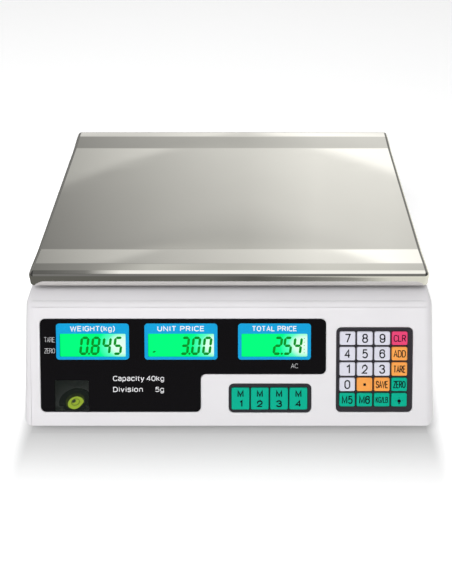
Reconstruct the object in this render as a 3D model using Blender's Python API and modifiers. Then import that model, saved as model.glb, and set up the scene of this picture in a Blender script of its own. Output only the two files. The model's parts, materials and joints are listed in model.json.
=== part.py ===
"""Retail price scale: a white plastic housing with a sloped front, a lift-off stainless pan on a
four-arm support, a load cell under it, a vendor display and keys in front and a customer display behind.

Metres, +Z up, +Y to the rear (customer) side, +X to the vendor's right.
The origin is on the floor under the middle of the housing's footprint.
"""

import math

import bmesh
import bpy
from mathutils import Matrix, Vector

MM = 0.001
GAP = 0.3 * MM  # clearance between neighbouring pieces

# Housing
FOOTPRINT_WIDTH = 348 * MM
FOOTPRINT_DEPTH = 330 * MM
BASE_Z = 10 * MM  # underside of the housing above the floor
LEDGE_Z = 86 * MM  # top face under the pan
LEDGE_WIDTH = 343 * MM
LEDGE_FRONT_Y = -98 * MM
LEDGE_REAR_Y = 156 * MM
WALL = 2.5 * MM
CORNER_RADIUS = 9 * MM
LEDGE_RADIUS = 4 * MM
FLOOR_TOP = BASE_Z + WALL
TRAY_RIM_Z = BASE_Z + 10 * MM

HALF_WIDTH = FOOTPRINT_WIDTH / 2
FRONT_Y = -FOOTPRINT_DEPTH / 2
REAR_Y = FOOTPRINT_DEPTH / 2
HOUSING_RISE = LEDGE_Z - BASE_Z
FRONT_TILT = math.atan2(LEDGE_FRONT_Y - FRONT_Y, HOUSING_RISE)  # from the vertical
REAR_TILT = math.atan2(REAR_Y - LEDGE_REAR_Y, HOUSING_RISE)
SIDE_TILT = math.atan2(HALF_WIDTH - LEDGE_WIDTH / 2, HOUSING_RISE)
POCKET_TILT = math.atan2(6 * MM, HOUSING_RISE)  # the floors of the side pockets lean in more

# Weighing pan, its support and the load cell
PAN_WIDTH = 338 * MM
PAN_DEPTH = 232 * MM
PAN_TOP_Z = 106 * MM
PAN_RIM = 13 * MM
PAN_SHEET = 0.8 * MM
PAN_LEAN = 0.5 * MM  # the rim leans in by this much at the top
PAN_EDGE_RADIUS = 5 * MM
PAN_SINK = 1.5 * MM  # the middle lies this far below the front and rear borders
PAN_BORDER = 13.5 * MM  # width of each level border
PAN_SLOPE = 20.5 * MM  # width of the shallow slope between a border and the middle
PAN_CENTRE = Vector((0, 35 * MM, 0))
CELL_CENTRE = Vector((0, 32 * MM, 0))
ARM_REACH = Vector((140 * MM, 67 * MM, 0))  # from the load cell's centre to a corner pad
ARM_BOTTOM_Z = 90 * MM
ARM_TOP_Z = 98.5 * MM
PAD_RADIUS = 11 * MM
PAD_STEM_RADIUS = 4 * MM
CELL_SIZE = Vector((130 * MM, 30 * MM, 22 * MM))
CELL_END = 30 * MM  # length of each bolted end
CARRIER_THICKNESS = 4 * MM
CARRIER_BLOCK = 8 * MM
CARRIER_Z = FLOOR_TOP + GAP
CELL_Z = CARRIER_Z + CARRIER_THICKNESS + CARRIER_BLOCK + GAP
BOLT_HOLE_RADIUS = 3.3 * MM

# Front panel, measured up the slope (v) from the housing's front edge and outwards (w)
WINDOW_RECESS = 1.6 * MM
WINDOW_THICKNESS = 1.2 * MM
WINDOW_OUTLINE_RADIUS = 4.5 * MM
WINDOW_LEFT = -158.5 * MM
WINDOW_RIGHT = 81.5 * MM
WINDOW_BLOCK_RIGHT = -23.5 * MM
WINDOW_BOTTOM = 11.5 * MM
WINDOW_STEP = 43.5 * MM
WINDOW_TOP = 90.5 * MM
LCD_SIZE = (61 * MM, 30 * MM, 5 * MM)
LCD_VIEW = (56 * MM, 20 * MM)
LCD_CENTRE_V = 71.2 * MM
LCD_VIEW_V = 68.1 * MM
FRONT_LCDS = {
    "front_lcd_weight": -114.2 * MM,
    "front_lcd_unit_price": -40.2 * MM,
    "front_lcd_total_price": 38.1 * MM,
}
BOARD = 1.6 * MM
LEVEL_VIEW = ((-147.4 * MM, 12.3 * MM), (-117.4 * MM, 38.3 * MM))
LEVEL_CENTRE = Vector((-131.2 * MM, -147 * MM, 0))
LEVEL_RADIUS = 6.7 * MM
LEVEL_TOP_Z = 18.8 * MM

# Keys
KEY_TRAVEL = 1.2 * MM
KEY_PROUD = 1.0 * MM
KEY_HOLE_GAP = 0.3 * MM
KEY_FLANGE_LIP = 0.5 * MM
KEY_FLANGE = 0.8 * MM
KEY_STEM = 0.9 * MM
FRAME_TOP_W = -0.6 * MM
FRAME_FLANGE_W = -WALL - GAP
FRAME_BOTTOM_W = -4.0 * MM
FRAME_LIP = 2 * MM
KEY_BODY_W = FRAME_BOTTOM_W - GAP
SWITCH_TOP_W = KEY_BODY_W - KEY_FLANGE - KEY_STEM - KEY_TRAVEL - 0.2 * MM
SWITCH_HEIGHT = 1.5 * MM
KEY_BOARD_W = SWITCH_TOP_W - SWITCH_HEIGHT

NUMERIC_FRAME = ((90.1 * MM, 11.7 * MM), (153.9 * MM, 83 * MM))
NUMERIC_KEY = (13 * MM, 11.3 * MM)
NUMERIC_PITCH = (14.53 * MM, 12.97 * MM)
NUMERIC_FIRST = (99.2 * MM, 74.05 * MM)  # centre of the top left key
NUMERIC_KEYS = (
    ("key_7", "key_8", "key_9", "key_clear"),
    ("key_4", "key_5", "key_6", "key_add"),
    ("key_1", "key_2", "key_3", "key_tare"),
    ("key_0", "key_point", "key_save", "key_zero"),
    ("key_memory_5", "key_memory_6", "key_unit", "key_light"),
)
MEMORY_FRAME = ((0, 11.3 * MM), (69 * MM, 35.5 * MM))
MEMORY_KEY = (15 * MM, 18.4 * MM)
MEMORY_PITCH = 16.2 * MM
MEMORY_FIRST = (9.65 * MM, 23.1 * MM)
MEMORY_KEYS = ("key_memory_1", "key_memory_2", "key_memory_3", "key_memory_4")

# Customer display, measured up the rear wall
REAR_WINDOW = (240 * MM, 42 * MM)
REAR_WINDOW_V = 44 * MM
REAR_LCD_PITCH = 76 * MM

# Side wall fittings, each in a shallow pocket, measured along the wall (Y) and up it (v)
POCKET_MARGIN = 2 * MM  # round each bezel
SWITCH_AT = (-36 * MM, 52 * MM)
SWITCH_BODY = (19.4 * MM, 12.6 * MM)
SWITCH_BEZEL = (22.5 * MM, 15.5 * MM)
SWITCH_DEPTH = 13 * MM
ROCKER_LENGTH = 15.2 * MM
ROCKER_WIDTH = 9.6 * MM
ROCKER_PIVOT_W = 0.8 * MM
ROCKER_TILT = math.radians(10)  # the rocker rests this far from level, pressed to on
INLET_AT = (62 * MM, 52 * MM)
INLET_BODY = (20 * MM, 13 * MM)
INLET_BEZEL = (25 * MM, 17 * MM)
INLET_DEPTH = 16 * MM
INLET_RECESS = (15.6 * MM, 8.4 * MM)
INLET_RECESS_DEPTH = 10 * MM
INLET_PIN_RADIUS = 1.2 * MM
INLET_PIN_SPACING = 8.6 * MM
BEZEL_THICKNESS = 1.8 * MM

# Feet
FEET = {
    "front_left": (-138 * MM, -115 * MM),
    "front_right": (138 * MM, -115 * MM),
    "rear_left": (-138 * MM, 132 * MM),
    "rear_right": (138 * MM, 132 * MM),
}
FOOT_RADIUS = 15 * MM
FOOT_HEIGHT = 7 * MM
STUD_RADIUS = 3 * MM
STUD_BOTTOM_Z = 2.8 * MM
STUD_TOP_Z = 26 * MM
STUD_COLLAR_RADIUS = 5.5 * MM
STUD_COLLAR = (FOOT_HEIGHT + GAP, FOOT_HEIGHT + GAP + 2 * MM)
BOSS_RADIUS = 10 * MM
BOSS_TOP_Z = 28 * MM
BOSS_POCKET_RADIUS = 7 * MM
BOSS_POCKET_TOP_Z = 14 * MM

# Battery and its door
BATTERY_LOW = Vector((-156, -40, 15.5)) * MM
BATTERY_HIGH = Vector((-86, 61, 62.5)) * MM
DOOR_AXIS = Vector((-159 * MM, 0, BASE_Z + 2.1 * MM))
DOOR_BARREL_RADIUS = 2.1 * MM
DOOR_FREE_X = -82 * MM
DOOR_Y = (-42.7 * MM, 63.7 * MM)
DOOR_PIN_RADIUS = 1.1 * MM
DOOR_PIN = 3 * MM

# Case screws hold the tray to posts that are moulded in the top shell
SCREW_POSTS = [(x * MM, y * MM) for x in (-154, 154) for y in (-72, 146)]
POST_RADIUS = 4 * MM
POST_PILOT_RADIUS = 1.4 * MM
SCREW_HOLE_RADIUS = 1.8 * MM
SCREW_HEAD_RADIUS = 3.6 * MM

WHITE_PLASTIC = ("white_plastic", (0.86, 0.85, 0.86), 0.35, 0.0)
BASE_PLASTIC = ("base_plastic", (0.72, 0.72, 0.73), 0.5, 0.0)
STAINLESS = ("stainless_steel", (0.74, 0.73, 0.70), 0.12, 1.0)
CAST_ALUMINIUM = ("cast_aluminium", (0.62, 0.63, 0.65), 0.5, 1.0)
STEEL = ("zinc_plated_steel", (0.6, 0.61, 0.62), 0.4, 1.0)
RUBBER = ("black_rubber", (0.04, 0.04, 0.04), 0.8, 0.0)
BLACK_GLOSS = ("display_window", (0.015, 0.015, 0.018), 0.15, 0.0)
LCD = ("lcd_green", (0.15, 0.95, 0.5), 0.3, 0.0)
KEY_FRAME = ("key_frame", (0.03, 0.03, 0.035), 0.45, 0.0)
KEY_WHITE = ("key_white", (0.86, 0.86, 0.92), 0.35, 0.0)
KEY_GREEN = ("key_green", (0.02, 0.55, 0.4), 0.4, 0.0)
KEY_ORANGE = ("key_orange", (0.95, 0.5, 0.12), 0.4, 0.0)
KEY_PINK = ("key_pink", (0.85, 0.2, 0.42), 0.4, 0.0)
CIRCUIT_BOARD = ("circuit_board", (0.05, 0.28, 0.12), 0.5, 0.0)
BATTERY_CASE = ("battery_case", (0.06, 0.06, 0.07), 0.5, 0.0)
SWITCH_BLACK = ("switch_black", (0.03, 0.03, 0.03), 0.35, 0.0)
SWITCH_RED = ("switch_red", (0.6, 0.03, 0.03), 0.3, 0.0)
VIAL_GREEN = ("level_vial", (0.5, 0.85, 0.1), 0.1, 0.0)
COPPER = ("transformer", (0.35, 0.3, 0.25), 0.5, 0.0)

KEY_COLOURS = {
    "key_clear": KEY_PINK,
    "key_add": KEY_ORANGE,
    "key_tare": KEY_ORANGE,
    "key_point": KEY_ORANGE,
    "key_save": KEY_ORANGE,
    "key_zero": KEY_GREEN,
    "key_memory_5": KEY_GREEN,
    "key_memory_6": KEY_GREEN,
    "key_unit": KEY_GREEN,
    "key_light": KEY_GREEN,
}


# ---------------------------------------------------------------- scene and objects


def clear_scene():
    for obj in list(bpy.data.objects):
        bpy.data.objects.remove(obj)


def new_collection(name):
    collection = bpy.data.collections.new(name)
    bpy.context.scene.collection.children.link(collection)
    return collection


clear_scene()
SCALE = new_collection("retail_price_scale")
TOOLS = new_collection("boolean_tools")
TOOLS.hide_render = True


def material(finish):
    name, colour, roughness, metallic = finish
    found = bpy.data.materials.get(name)
    if found:
        return found
    made = bpy.data.materials.new(name)
    made.use_nodes = True
    shader = made.node_tree.nodes["Principled BSDF"]
    shader.inputs["Base Color"].default_value = (*colour, 1)
    shader.inputs["Roughness"].default_value = roughness
    shader.inputs["Metallic"].default_value = metallic
    return made


def frame(name, location, rotation):
    """An empty that panel parts are parented to; it isn't a node."""
    empty = bpy.data.objects.new(name, None)
    empty.location = location
    empty.rotation_euler = rotation
    SCALE.objects.link(empty)
    return empty


def place(obj, parent, location):
    obj.parent = parent
    obj.location = location
    return obj


def solid(name, bm, finish, parent=None, location=(0, 0, 0)):
    """A part of the scale, made from a bmesh."""
    bmesh.ops.recalc_face_normals(bm, faces=bm.faces)
    mesh = bpy.data.meshes.new(name)
    bm.to_mesh(mesh)
    bm.free()
    return part_of(name, mesh, finish, parent, location)


def part_of(name, mesh, finish, parent=None, location=(0, 0, 0)):
    """A part of the scale, made from a mesh that other parts may share."""
    obj = bpy.data.objects.new(name, mesh)
    if not mesh.materials:
        mesh.materials.append(None)
    obj.material_slots[0].link = "OBJECT"
    obj.material_slots[0].material = material(finish)
    SCALE.objects.link(obj)
    return place(obj, parent, location)


def tool(name, bm, parent=None, location=(0, 0, 0)):
    """A cutter, or a shape to join, which isn't a part itself."""
    bmesh.ops.recalc_face_normals(bm, faces=bm.faces)
    mesh = bpy.data.meshes.new(name)
    bm.to_mesh(mesh)
    bm.free()
    obj = bpy.data.objects.new(name, mesh)
    obj.hide_render = True
    obj.display_type = "WIRE"
    TOOLS.objects.link(obj)
    return place(obj, parent, location)


def boolean(target, operation, others):
    for other in others:
        modifier = target.modifiers.new(other.name, "BOOLEAN")
        modifier.operation = operation
        modifier.object = other


def cut(target, *cutters):
    boolean(target, "DIFFERENCE", cutters)


def join(target, *others):
    boolean(target, "UNION", others)


def shade_smooth(obj, degrees=35):
    obj.data.shade_smooth()
    obj.data.set_sharp_from_angle(angle=math.radians(degrees))


# ---------------------------------------------------------------- shapes


def add_box(bm, low, high):
    """Adds a box between two corners and returns its vertices."""
    low, high = Vector(low), Vector(high)
    size = high - low
    scale = Matrix.Diagonal((*size, 1))
    at = Matrix.Translation((low + high) / 2)
    return bmesh.ops.create_cube(bm, size=1, matrix=at @ scale)["verts"]


def boxes(*corners):
    """A bmesh of boxes that stand clear of each other."""
    bm = bmesh.new()
    for low, high in corners:
        add_box(bm, low, high)
    return bm


def upright_edges(bm):
    return [e for e in bm.edges if abs((e.verts[0].co - e.verts[1].co).normalized().z) > 0.6]


def top_edges(bm):
    top = max(bm.faces, key=lambda f: f.calc_center_median().z)
    return list(top.edges)


def bevel(bm, edges, radius, segments):
    bmesh.ops.bevel(
        bm, geom=edges, offset=radius, segments=segments, profile=0.5, affect="EDGES"
    )


def rounded_box(low, high, radius, segments=3, top_radius=0):
    """A box with rounded upright edges, and a chamfer round its top if top_radius is given."""
    bm = boxes((low, high))
    bevel(bm, upright_edges(bm), radius, segments)
    if top_radius:
        bevel(bm, top_edges(bm), top_radius, 1)
    return bm


def cylinder(radius, low_z, high_z, segments=24, at=(0, 0)):
    bm = bmesh.new()
    bmesh.ops.create_cone(
        bm,
        cap_ends=True,
        segments=segments,
        radius1=radius,
        radius2=radius,
        depth=high_z - low_z,
        matrix=Matrix.Translation((*at, (low_z + high_z) / 2)),
    )
    return bm


def cylinders(radius, low_z, high_z, centres, segments=16):
    """Equal upright cylinders that stand clear of each other."""
    bm = bmesh.new()
    for x, y in centres:
        bmesh.ops.create_cone(
            bm,
            cap_ends=True,
            segments=segments,
            radius1=radius,
            radius2=radius,
            depth=high_z - low_z,
            matrix=Matrix.Translation((x, y, (low_z + high_z) / 2)),
        )
    return bm


def lying_cylinder(radius, low_y, high_y, x, z, segments=16):
    """A cylinder along Y."""
    bm = cylinder(radius, low_y, high_y, segments)
    turn = Matrix.Rotation(math.radians(-90), 4, "X")
    bmesh.ops.transform(bm, matrix=Matrix.Translation((x, 0, z)) @ turn, verts=bm.verts)
    return bm


def prism(points, low_z, high_z):
    """An outline in XY, extruded from low_z to high_z."""
    bm = bmesh.new()
    bottom = bm.faces.new([bm.verts.new((x, y, low_z)) for x, y in points])
    grown = bmesh.ops.extrude_face_region(bm, geom=[bottom])["geom"]
    top = [item for item in grown if isinstance(item, bmesh.types.BMVert)]
    bmesh.ops.translate(bm, vec=(0, 0, high_z - low_z), verts=top)
    return bm


def housing_outline(z, inset=0.0):
    """Half width, front Y and rear Y of the housing's outer face at a height, moved in by an inset."""
    rise = z - BASE_Z
    half_width = HALF_WIDTH - rise * math.tan(SIDE_TILT) - inset / math.cos(SIDE_TILT)
    front = FRONT_Y + rise * math.tan(FRONT_TILT) + inset / math.cos(FRONT_TILT)
    rear = REAR_Y - rise * math.tan(REAR_TILT) - inset / math.cos(REAR_TILT)
    return half_width, front, rear


def housing_block(low_z, high_z, inset, corner_radius, top_radius=0.0):
    """A solid block that follows the housing's four sloping walls between two heights."""
    bm = boxes(((-1, -1, 0), (1, 1, 1)))
    for vert in bm.verts:
        z = high_z if vert.co.z > 0.5 else low_z
        half_width, front, rear = housing_outline(z, inset)
        vert.co = (math.copysign(half_width, vert.co.x), rear if vert.co.y > 0 else front, z)
    bevel(bm, upright_edges(bm), corner_radius, 4)
    if top_radius:
        bevel(bm, top_edges(bm), top_radius, 3)
    return bm


def panel_box(centre, size, low_w, high_w):
    """Corners of a box on a panel, from its centre and size in the panel's plane."""
    (u, v), (width, height) = centre, size
    low = (u - width / 2, v - height / 2, low_w)
    return low, (u + width / 2, v + height / 2, high_w)


def evaluated_mesh(obj):
    """The mesh of an object with its modifiers applied, for parts that share it."""
    graph = bpy.context.evaluated_depsgraph_get()
    return bpy.data.meshes.new_from_object(obj.evaluated_get(graph))


# ---------------------------------------------------------------- panel frames

FRONT_PANEL = frame("front_panel_frame", (0, FRONT_Y, BASE_Z), (math.pi / 2 - FRONT_TILT, 0, 0))
REAR_PANEL = frame("rear_panel_frame", (0, REAR_Y, BASE_Z), (math.pi / 2 - REAR_TILT, 0, math.pi))
SIDE_PANEL = frame(
    "right_side_frame", (HALF_WIDTH, 0, BASE_Z), (math.pi / 2 - POCKET_TILT, 0, math.pi / 2)
)


# ---------------------------------------------------------------- top shell and windows


def window_outline(inset):
    """The L-shaped display window: a band across the panel with a block below its left end."""
    left, right = WINDOW_LEFT + inset, WINDOW_RIGHT - inset
    block_right = WINDOW_BLOCK_RIGHT - inset
    bottom, step, top = WINDOW_BOTTOM + inset, WINDOW_STEP + inset, WINDOW_TOP - inset
    return [
        (left, bottom),
        (block_right, bottom),
        (block_right, step),
        (right, step),
        (right, top),
        (left, top),
    ]


def rounded_prism(points, low_z, high_z, radius, segments=3):
    bm = prism(points, low_z, high_z)
    bevel(bm, upright_edges(bm), radius, segments)
    return bm


def front_lcd_centres(v):
    return [(u, v) for u in FRONT_LCDS.values()]


def rear_lcd_centres():
    return [(step * REAR_LCD_PITCH, REAR_WINDOW_V) for step in (-1, 0, 1)]


def opening(name, panel, centres, size, gap=0.0, depth=12 * MM):
    """Equal rectangular holes through a panel's wall."""
    grown = (size[0] + 2 * gap, size[1] + 2 * gap)
    holes = [panel_box(centre, grown, -depth, 5 * MM) for centre in centres]
    return tool(name, boxes(*holes), panel)


def box_centre_size(corners):
    (u0, v0), (u1, v1) = corners
    return ((u0 + u1) / 2, (v0 + v1) / 2), (u1 - u0, v1 - v0)


def frame_opening(name, corners):
    """A hole for a key frame, with the same rounded corners."""
    centre, size = box_centre_size(corners)
    low, high = panel_box(centre, (size[0] + 2 * GAP, size[1] + 2 * GAP), -12 * MM, 5 * MM)
    return tool(name, rounded_box(low, high, 4 * MM + GAP), FRONT_PANEL)


def make_top_shell():
    overshoot = 6 * MM
    bm = housing_block(BASE_Z - overshoot, LEDGE_Z, 0, CORNER_RADIUS, LEDGE_RADIUS)
    bottom = min(bm.faces, key=lambda f: f.calc_center_median().z)
    bmesh.ops.delete(bm, geom=[bottom], context="FACES_ONLY")
    shell = solid("top_shell", bm, WHITE_PLASTIC)
    wall = shell.modifiers.new("wall", "SOLIDIFY")
    wall.thickness = WALL
    wall.offset = -1
    wall.use_even_offset = True

    reach = 0.3  # wider than the housing
    below = ((-reach, -reach, -reach), (reach, reach, BASE_Z))
    cut(shell, tool("housing_bottom_trim", boxes(below)))

    hub_x = CELL_SIZE.x / 2 - CELL_END / 2
    hub_y = CELL_CENTRE.y
    collar = ((hub_x - 27 * MM, hub_y - 25 * MM), (hub_x + 27 * MM, hub_y + 25 * MM))
    hole = ((hub_x - 23 * MM, hub_y - 21 * MM), (hub_x + 23 * MM, hub_y + 21 * MM))
    join(
        shell,
        tool(
            "drip_collar",
            rounded_box(
                (*collar[0], LEDGE_Z - 1 * MM), (*collar[1], LEDGE_Z + 2 * MM), 4 * MM
            ),
        ),
        tool("screw_posts", cylinders(POST_RADIUS, FLOOR_TOP + GAP, LEDGE_Z - 1 * MM, SCREW_POSTS)),
        side_pocket("switch_boss", SWITCH_AT, SWITCH_BEZEL, POCKET_MARGIN + WALL, -WALL, 2 * MM),
        side_pocket("inlet_boss", INLET_AT, INLET_BEZEL, POCKET_MARGIN + WALL, -WALL, 2 * MM),
    )
    pilot_top = FLOOR_TOP + 20 * MM
    cut(
        shell,
        tool(
            "hub_hole",
            rounded_box((*hole[0], 70 * MM), (*hole[1], LEDGE_Z + 10 * MM), 3 * MM),
        ),
        tool("post_pilots", cylinders(POST_PILOT_RADIUS, BASE_Z, pilot_top, SCREW_POSTS, 10)),
        tool(
            "front_window_recess",
            rounded_prism(window_outline(0), -WINDOW_RECESS, 5 * MM, WINDOW_OUTLINE_RADIUS),
            FRONT_PANEL,
        ),
        opening("front_lcd_openings", FRONT_PANEL, front_lcd_centres(LCD_VIEW_V), LCD_VIEW),
        tool(
            "level_opening",
            boxes(((*LEVEL_VIEW[0], -8 * MM), (*LEVEL_VIEW[1], 5 * MM))),
            FRONT_PANEL,
        ),
        frame_opening("keypad_opening", NUMERIC_FRAME),
        frame_opening("memory_key_opening", MEMORY_FRAME),
        rear_recess(),
        opening("rear_lcd_openings", REAR_PANEL, rear_lcd_centres(), LCD_VIEW),
        side_pocket("switch_pocket", SWITCH_AT, SWITCH_BEZEL, POCKET_MARGIN, 0, 8 * MM),
        side_pocket("inlet_pocket", INLET_AT, INLET_BEZEL, POCKET_MARGIN, 0, 8 * MM),
        opening("switch_hole", SIDE_PANEL, [SWITCH_AT], SWITCH_BODY, GAP),
        opening("inlet_hole", SIDE_PANEL, [INLET_AT], INLET_BODY, GAP),
    )
    shade_smooth(shell)
    return shell


def side_pocket(name, centre, bezel, margin, low_w, high_w):
    """A block round a side fitting's bezel: the boss behind its pocket, or the pocket itself."""
    low, high = panel_box(centre, (bezel[0] + 2 * margin, bezel[1] + 2 * margin), low_w, high_w)
    return tool(name, rounded_box(low, high, 3 * MM, 2), SIDE_PANEL)


def rear_recess():
    low, high = panel_box((0, REAR_WINDOW_V), REAR_WINDOW, -WINDOW_RECESS, 5 * MM)
    return tool("rear_window_recess", rounded_box(low, high, WINDOW_OUTLINE_RADIUS), REAR_PANEL)


def make_windows():
    low_w = -WINDOW_RECESS + GAP
    outline = window_outline(GAP)
    sheet = rounded_prism(outline, low_w, low_w + WINDOW_THICKNESS, WINDOW_OUTLINE_RADIUS - GAP)
    solid("front_window", sheet, BLACK_GLOSS, FRONT_PANEL)
    size = (REAR_WINDOW[0] - 2 * GAP, REAR_WINDOW[1] - 2 * GAP)
    low, high = panel_box((0, REAR_WINDOW_V), size, low_w, low_w + WINDOW_THICKNESS)
    radius = WINDOW_OUTLINE_RADIUS - GAP
    solid("rear_window", rounded_box(low, high, radius), BLACK_GLOSS, REAR_PANEL)


# ---------------------------------------------------------------- displays


def make_displays():
    back_w = -WALL - GAP - LCD_SIZE[2]
    for name, u in FRONT_LCDS.items():
        low, high = panel_box((u, LCD_CENTRE_V), LCD_SIZE[:2], back_w, back_w + LCD_SIZE[2])
        solid(name, rounded_box(low, high, 1.5 * MM, 1), LCD, FRONT_PANEL)

    board_top = back_w - GAP
    board = ((-156 * MM, 50 * MM, board_top - BOARD), (82 * MM, 90 * MM, board_top))
    obj = solid("front_display_board", boxes(board), CIRCUIT_BOARD, FRONT_PANEL)
    connector = ((-20 * MM, 52 * MM, board_top - 7 * MM), (4 * MM, 58 * MM, board_top - BOARD / 2))
    driver = ((-96 * MM, 62 * MM, board_top - 3.6 * MM), (-82 * MM, 76 * MM, board_top - BOARD / 2))
    join(obj, tool("display_board_parts", boxes(connector, driver), FRONT_PANEL))

    low, high = panel_box(
        (0, REAR_WINDOW_V), (2 * REAR_LCD_PITCH + 66 * MM, 36 * MM), back_w - BOARD, back_w
    )
    module = solid("rear_display_module", boxes((low, high)), CIRCUIT_BOARD, REAR_PANEL)
    glasses = [
        panel_box(centre, LCD_SIZE[:2], back_w - BOARD / 2, back_w + LCD_SIZE[2])
        for centre in rear_lcd_centres()
    ]
    join(module, tool("rear_lcd_glasses", boxes(*glasses), REAR_PANEL))


# ---------------------------------------------------------------- keys


def numeric_key_places():
    """(name, (u, v)) of each key on the numeric pad."""
    for row, names in enumerate(NUMERIC_KEYS):
        for column, name in enumerate(names):
            u = NUMERIC_FIRST[0] + column * NUMERIC_PITCH[0]
            yield name, (u, NUMERIC_FIRST[1] - row * NUMERIC_PITCH[1])


def memory_key_places():
    for column, name in enumerate(MEMORY_KEYS):
        yield name, (MEMORY_FIRST[0] + column * MEMORY_PITCH, MEMORY_FIRST[1])


def key_mesh(size):
    """A key cap with the flange that keeps it behind its frame and the stem that presses its switch."""
    width, height = size
    low, high = panel_box((0, 0), size, KEY_BODY_W - KEY_FLANGE / 2, KEY_PROUD)
    cap = tool("key_cap_shape", rounded_box(low, high, 1.2 * MM, 2, 0.4 * MM))
    lip = 2 * KEY_FLANGE_LIP
    flange_bottom = KEY_BODY_W - KEY_FLANGE
    flange = panel_box((0, 0), (width + lip, height + lip), flange_bottom, KEY_BODY_W)
    stem = panel_box((0, 0), (4 * MM, 4 * MM), flange_bottom - KEY_STEM, KEY_BODY_W - KEY_FLANGE / 2)
    join(cap, tool("key_flange", boxes(flange)), tool("key_stem", boxes(stem)))
    return evaluated_mesh(cap)


def make_keys():
    for places, size, other in (
        (numeric_key_places(), NUMERIC_KEY, KEY_WHITE),
        (memory_key_places(), MEMORY_KEY, KEY_GREEN),
    ):
        shared = key_mesh(size)
        for name, (u, v) in places:
            part_of(name, shared, KEY_COLOURS.get(name, other), FRONT_PANEL, (u, v, 0))


def make_key_frame(name, corners, places, key_size):
    """A black frame set into the shell, with a hole for each key and a lip behind the wall."""
    centre, size = box_centre_size(corners)
    low, high = panel_box(centre, size, FRAME_BOTTOM_W, FRAME_TOP_W)
    plate = solid(name, rounded_box(low, high, 4 * MM), KEY_FRAME, FRONT_PANEL)
    lipped = (size[0] + 2 * FRAME_LIP, size[1] + 2 * FRAME_LIP)
    lip = boxes(panel_box(centre, lipped, FRAME_BOTTOM_W, FRAME_FLANGE_W))
    join(plate, tool(name + "_lip", lip, FRONT_PANEL))
    grown = (key_size[0] + 2 * KEY_HOLE_GAP, key_size[1] + 2 * KEY_HOLE_GAP)
    holes = [panel_box(at, grown, -8 * MM, 3 * MM) for _, at in places]
    cut(plate, tool(name + "_holes", boxes(*holes), FRONT_PANEL))


def make_key_board():
    """One L-shaped board behind both key groups, with a switch under each key."""
    top, bottom = KEY_BOARD_W, KEY_BOARD_W - BOARD
    numeric = ((91 * MM, 14.5 * MM, bottom), (153 * MM, 81 * MM, top))
    memory = ((1 * MM, 14.5 * MM, bottom), (92 * MM, 34.5 * MM, top))
    board = solid("key_board", boxes(numeric), CIRCUIT_BOARD, FRONT_PANEL)
    join(board, tool("memory_key_board", boxes(memory), FRONT_PANEL))
    places = [at for _, at in (*numeric_key_places(), *memory_key_places())]
    switch = (5 * MM, 5 * MM)
    switches = [panel_box(at, switch, top - BOARD / 2, SWITCH_TOP_W) for at in places]
    join(board, tool("key_switches", boxes(*switches), FRONT_PANEL))


# ---------------------------------------------------------------- weighing parts


def corner_points():
    """The four corner pads' centres, left front first."""
    return [
        (CELL_CENTRE.x + sx * ARM_REACH.x, CELL_CENTRE.y + sy * ARM_REACH.y)
        for sx in (-1, 1)
        for sy in (-1, 1)
    ]


def pan_sink(y):
    """How far the pan's top lies below its borders, from front to rear."""
    inward = PAN_DEPTH / 2 - abs(y - PAN_CENTRE.y)
    return PAN_SINK * min(max((inward - PAN_BORDER) / PAN_SLOPE, 0), 1)


def make_pan():
    """One pressed sheet: a level middle, shallow slopes up to two borders, and a rim all round."""
    half = Vector((PAN_WIDTH / 2, PAN_DEPTH / 2, 0))
    low = PAN_CENTRE - half + Vector((0, 0, PAN_TOP_Z - PAN_RIM))
    high = PAN_CENTRE + half + Vector((0, 0, PAN_TOP_Z))
    bm = boxes((low, high))
    for vert in bm.verts:
        if vert.co.z > PAN_TOP_Z - PAN_RIM / 2:
            vert.co.x -= math.copysign(PAN_LEAN, vert.co.x)
            vert.co.y -= math.copysign(PAN_LEAN, vert.co.y - PAN_CENTRE.y)
    bevel(bm, upright_edges(bm), 5 * MM, 4)
    bevel(bm, top_edges(bm), PAN_EDGE_RADIUS, 4)
    bottom = min(bm.faces, key=lambda f: f.calc_center_median().z)
    bmesh.ops.delete(bm, geom=[bottom], context="FACES_ONLY")
    for inward in (PAN_BORDER, PAN_BORDER + PAN_SLOPE):
        for side in (-1, 1):
            crease = (0, PAN_CENTRE.y + side * (PAN_DEPTH / 2 - inward), 0)
            everything = [*bm.verts, *bm.edges, *bm.faces]
            bmesh.ops.bisect_plane(bm, geom=everything, plane_co=crease, plane_no=(0, 1, 0))
    for vert in bm.verts:
        if vert.co.z > PAN_TOP_Z - PAN_RIM / 2:
            vert.co.z -= pan_sink(vert.co.y)
    pan = solid("weighing_pan", bm, STAINLESS)
    sheet = pan.modifiers.new("sheet", "SOLIDIFY")
    sheet.thickness = PAN_SHEET
    sheet.offset = -1
    sheet.use_even_offset = True
    shade_smooth(pan)


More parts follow.
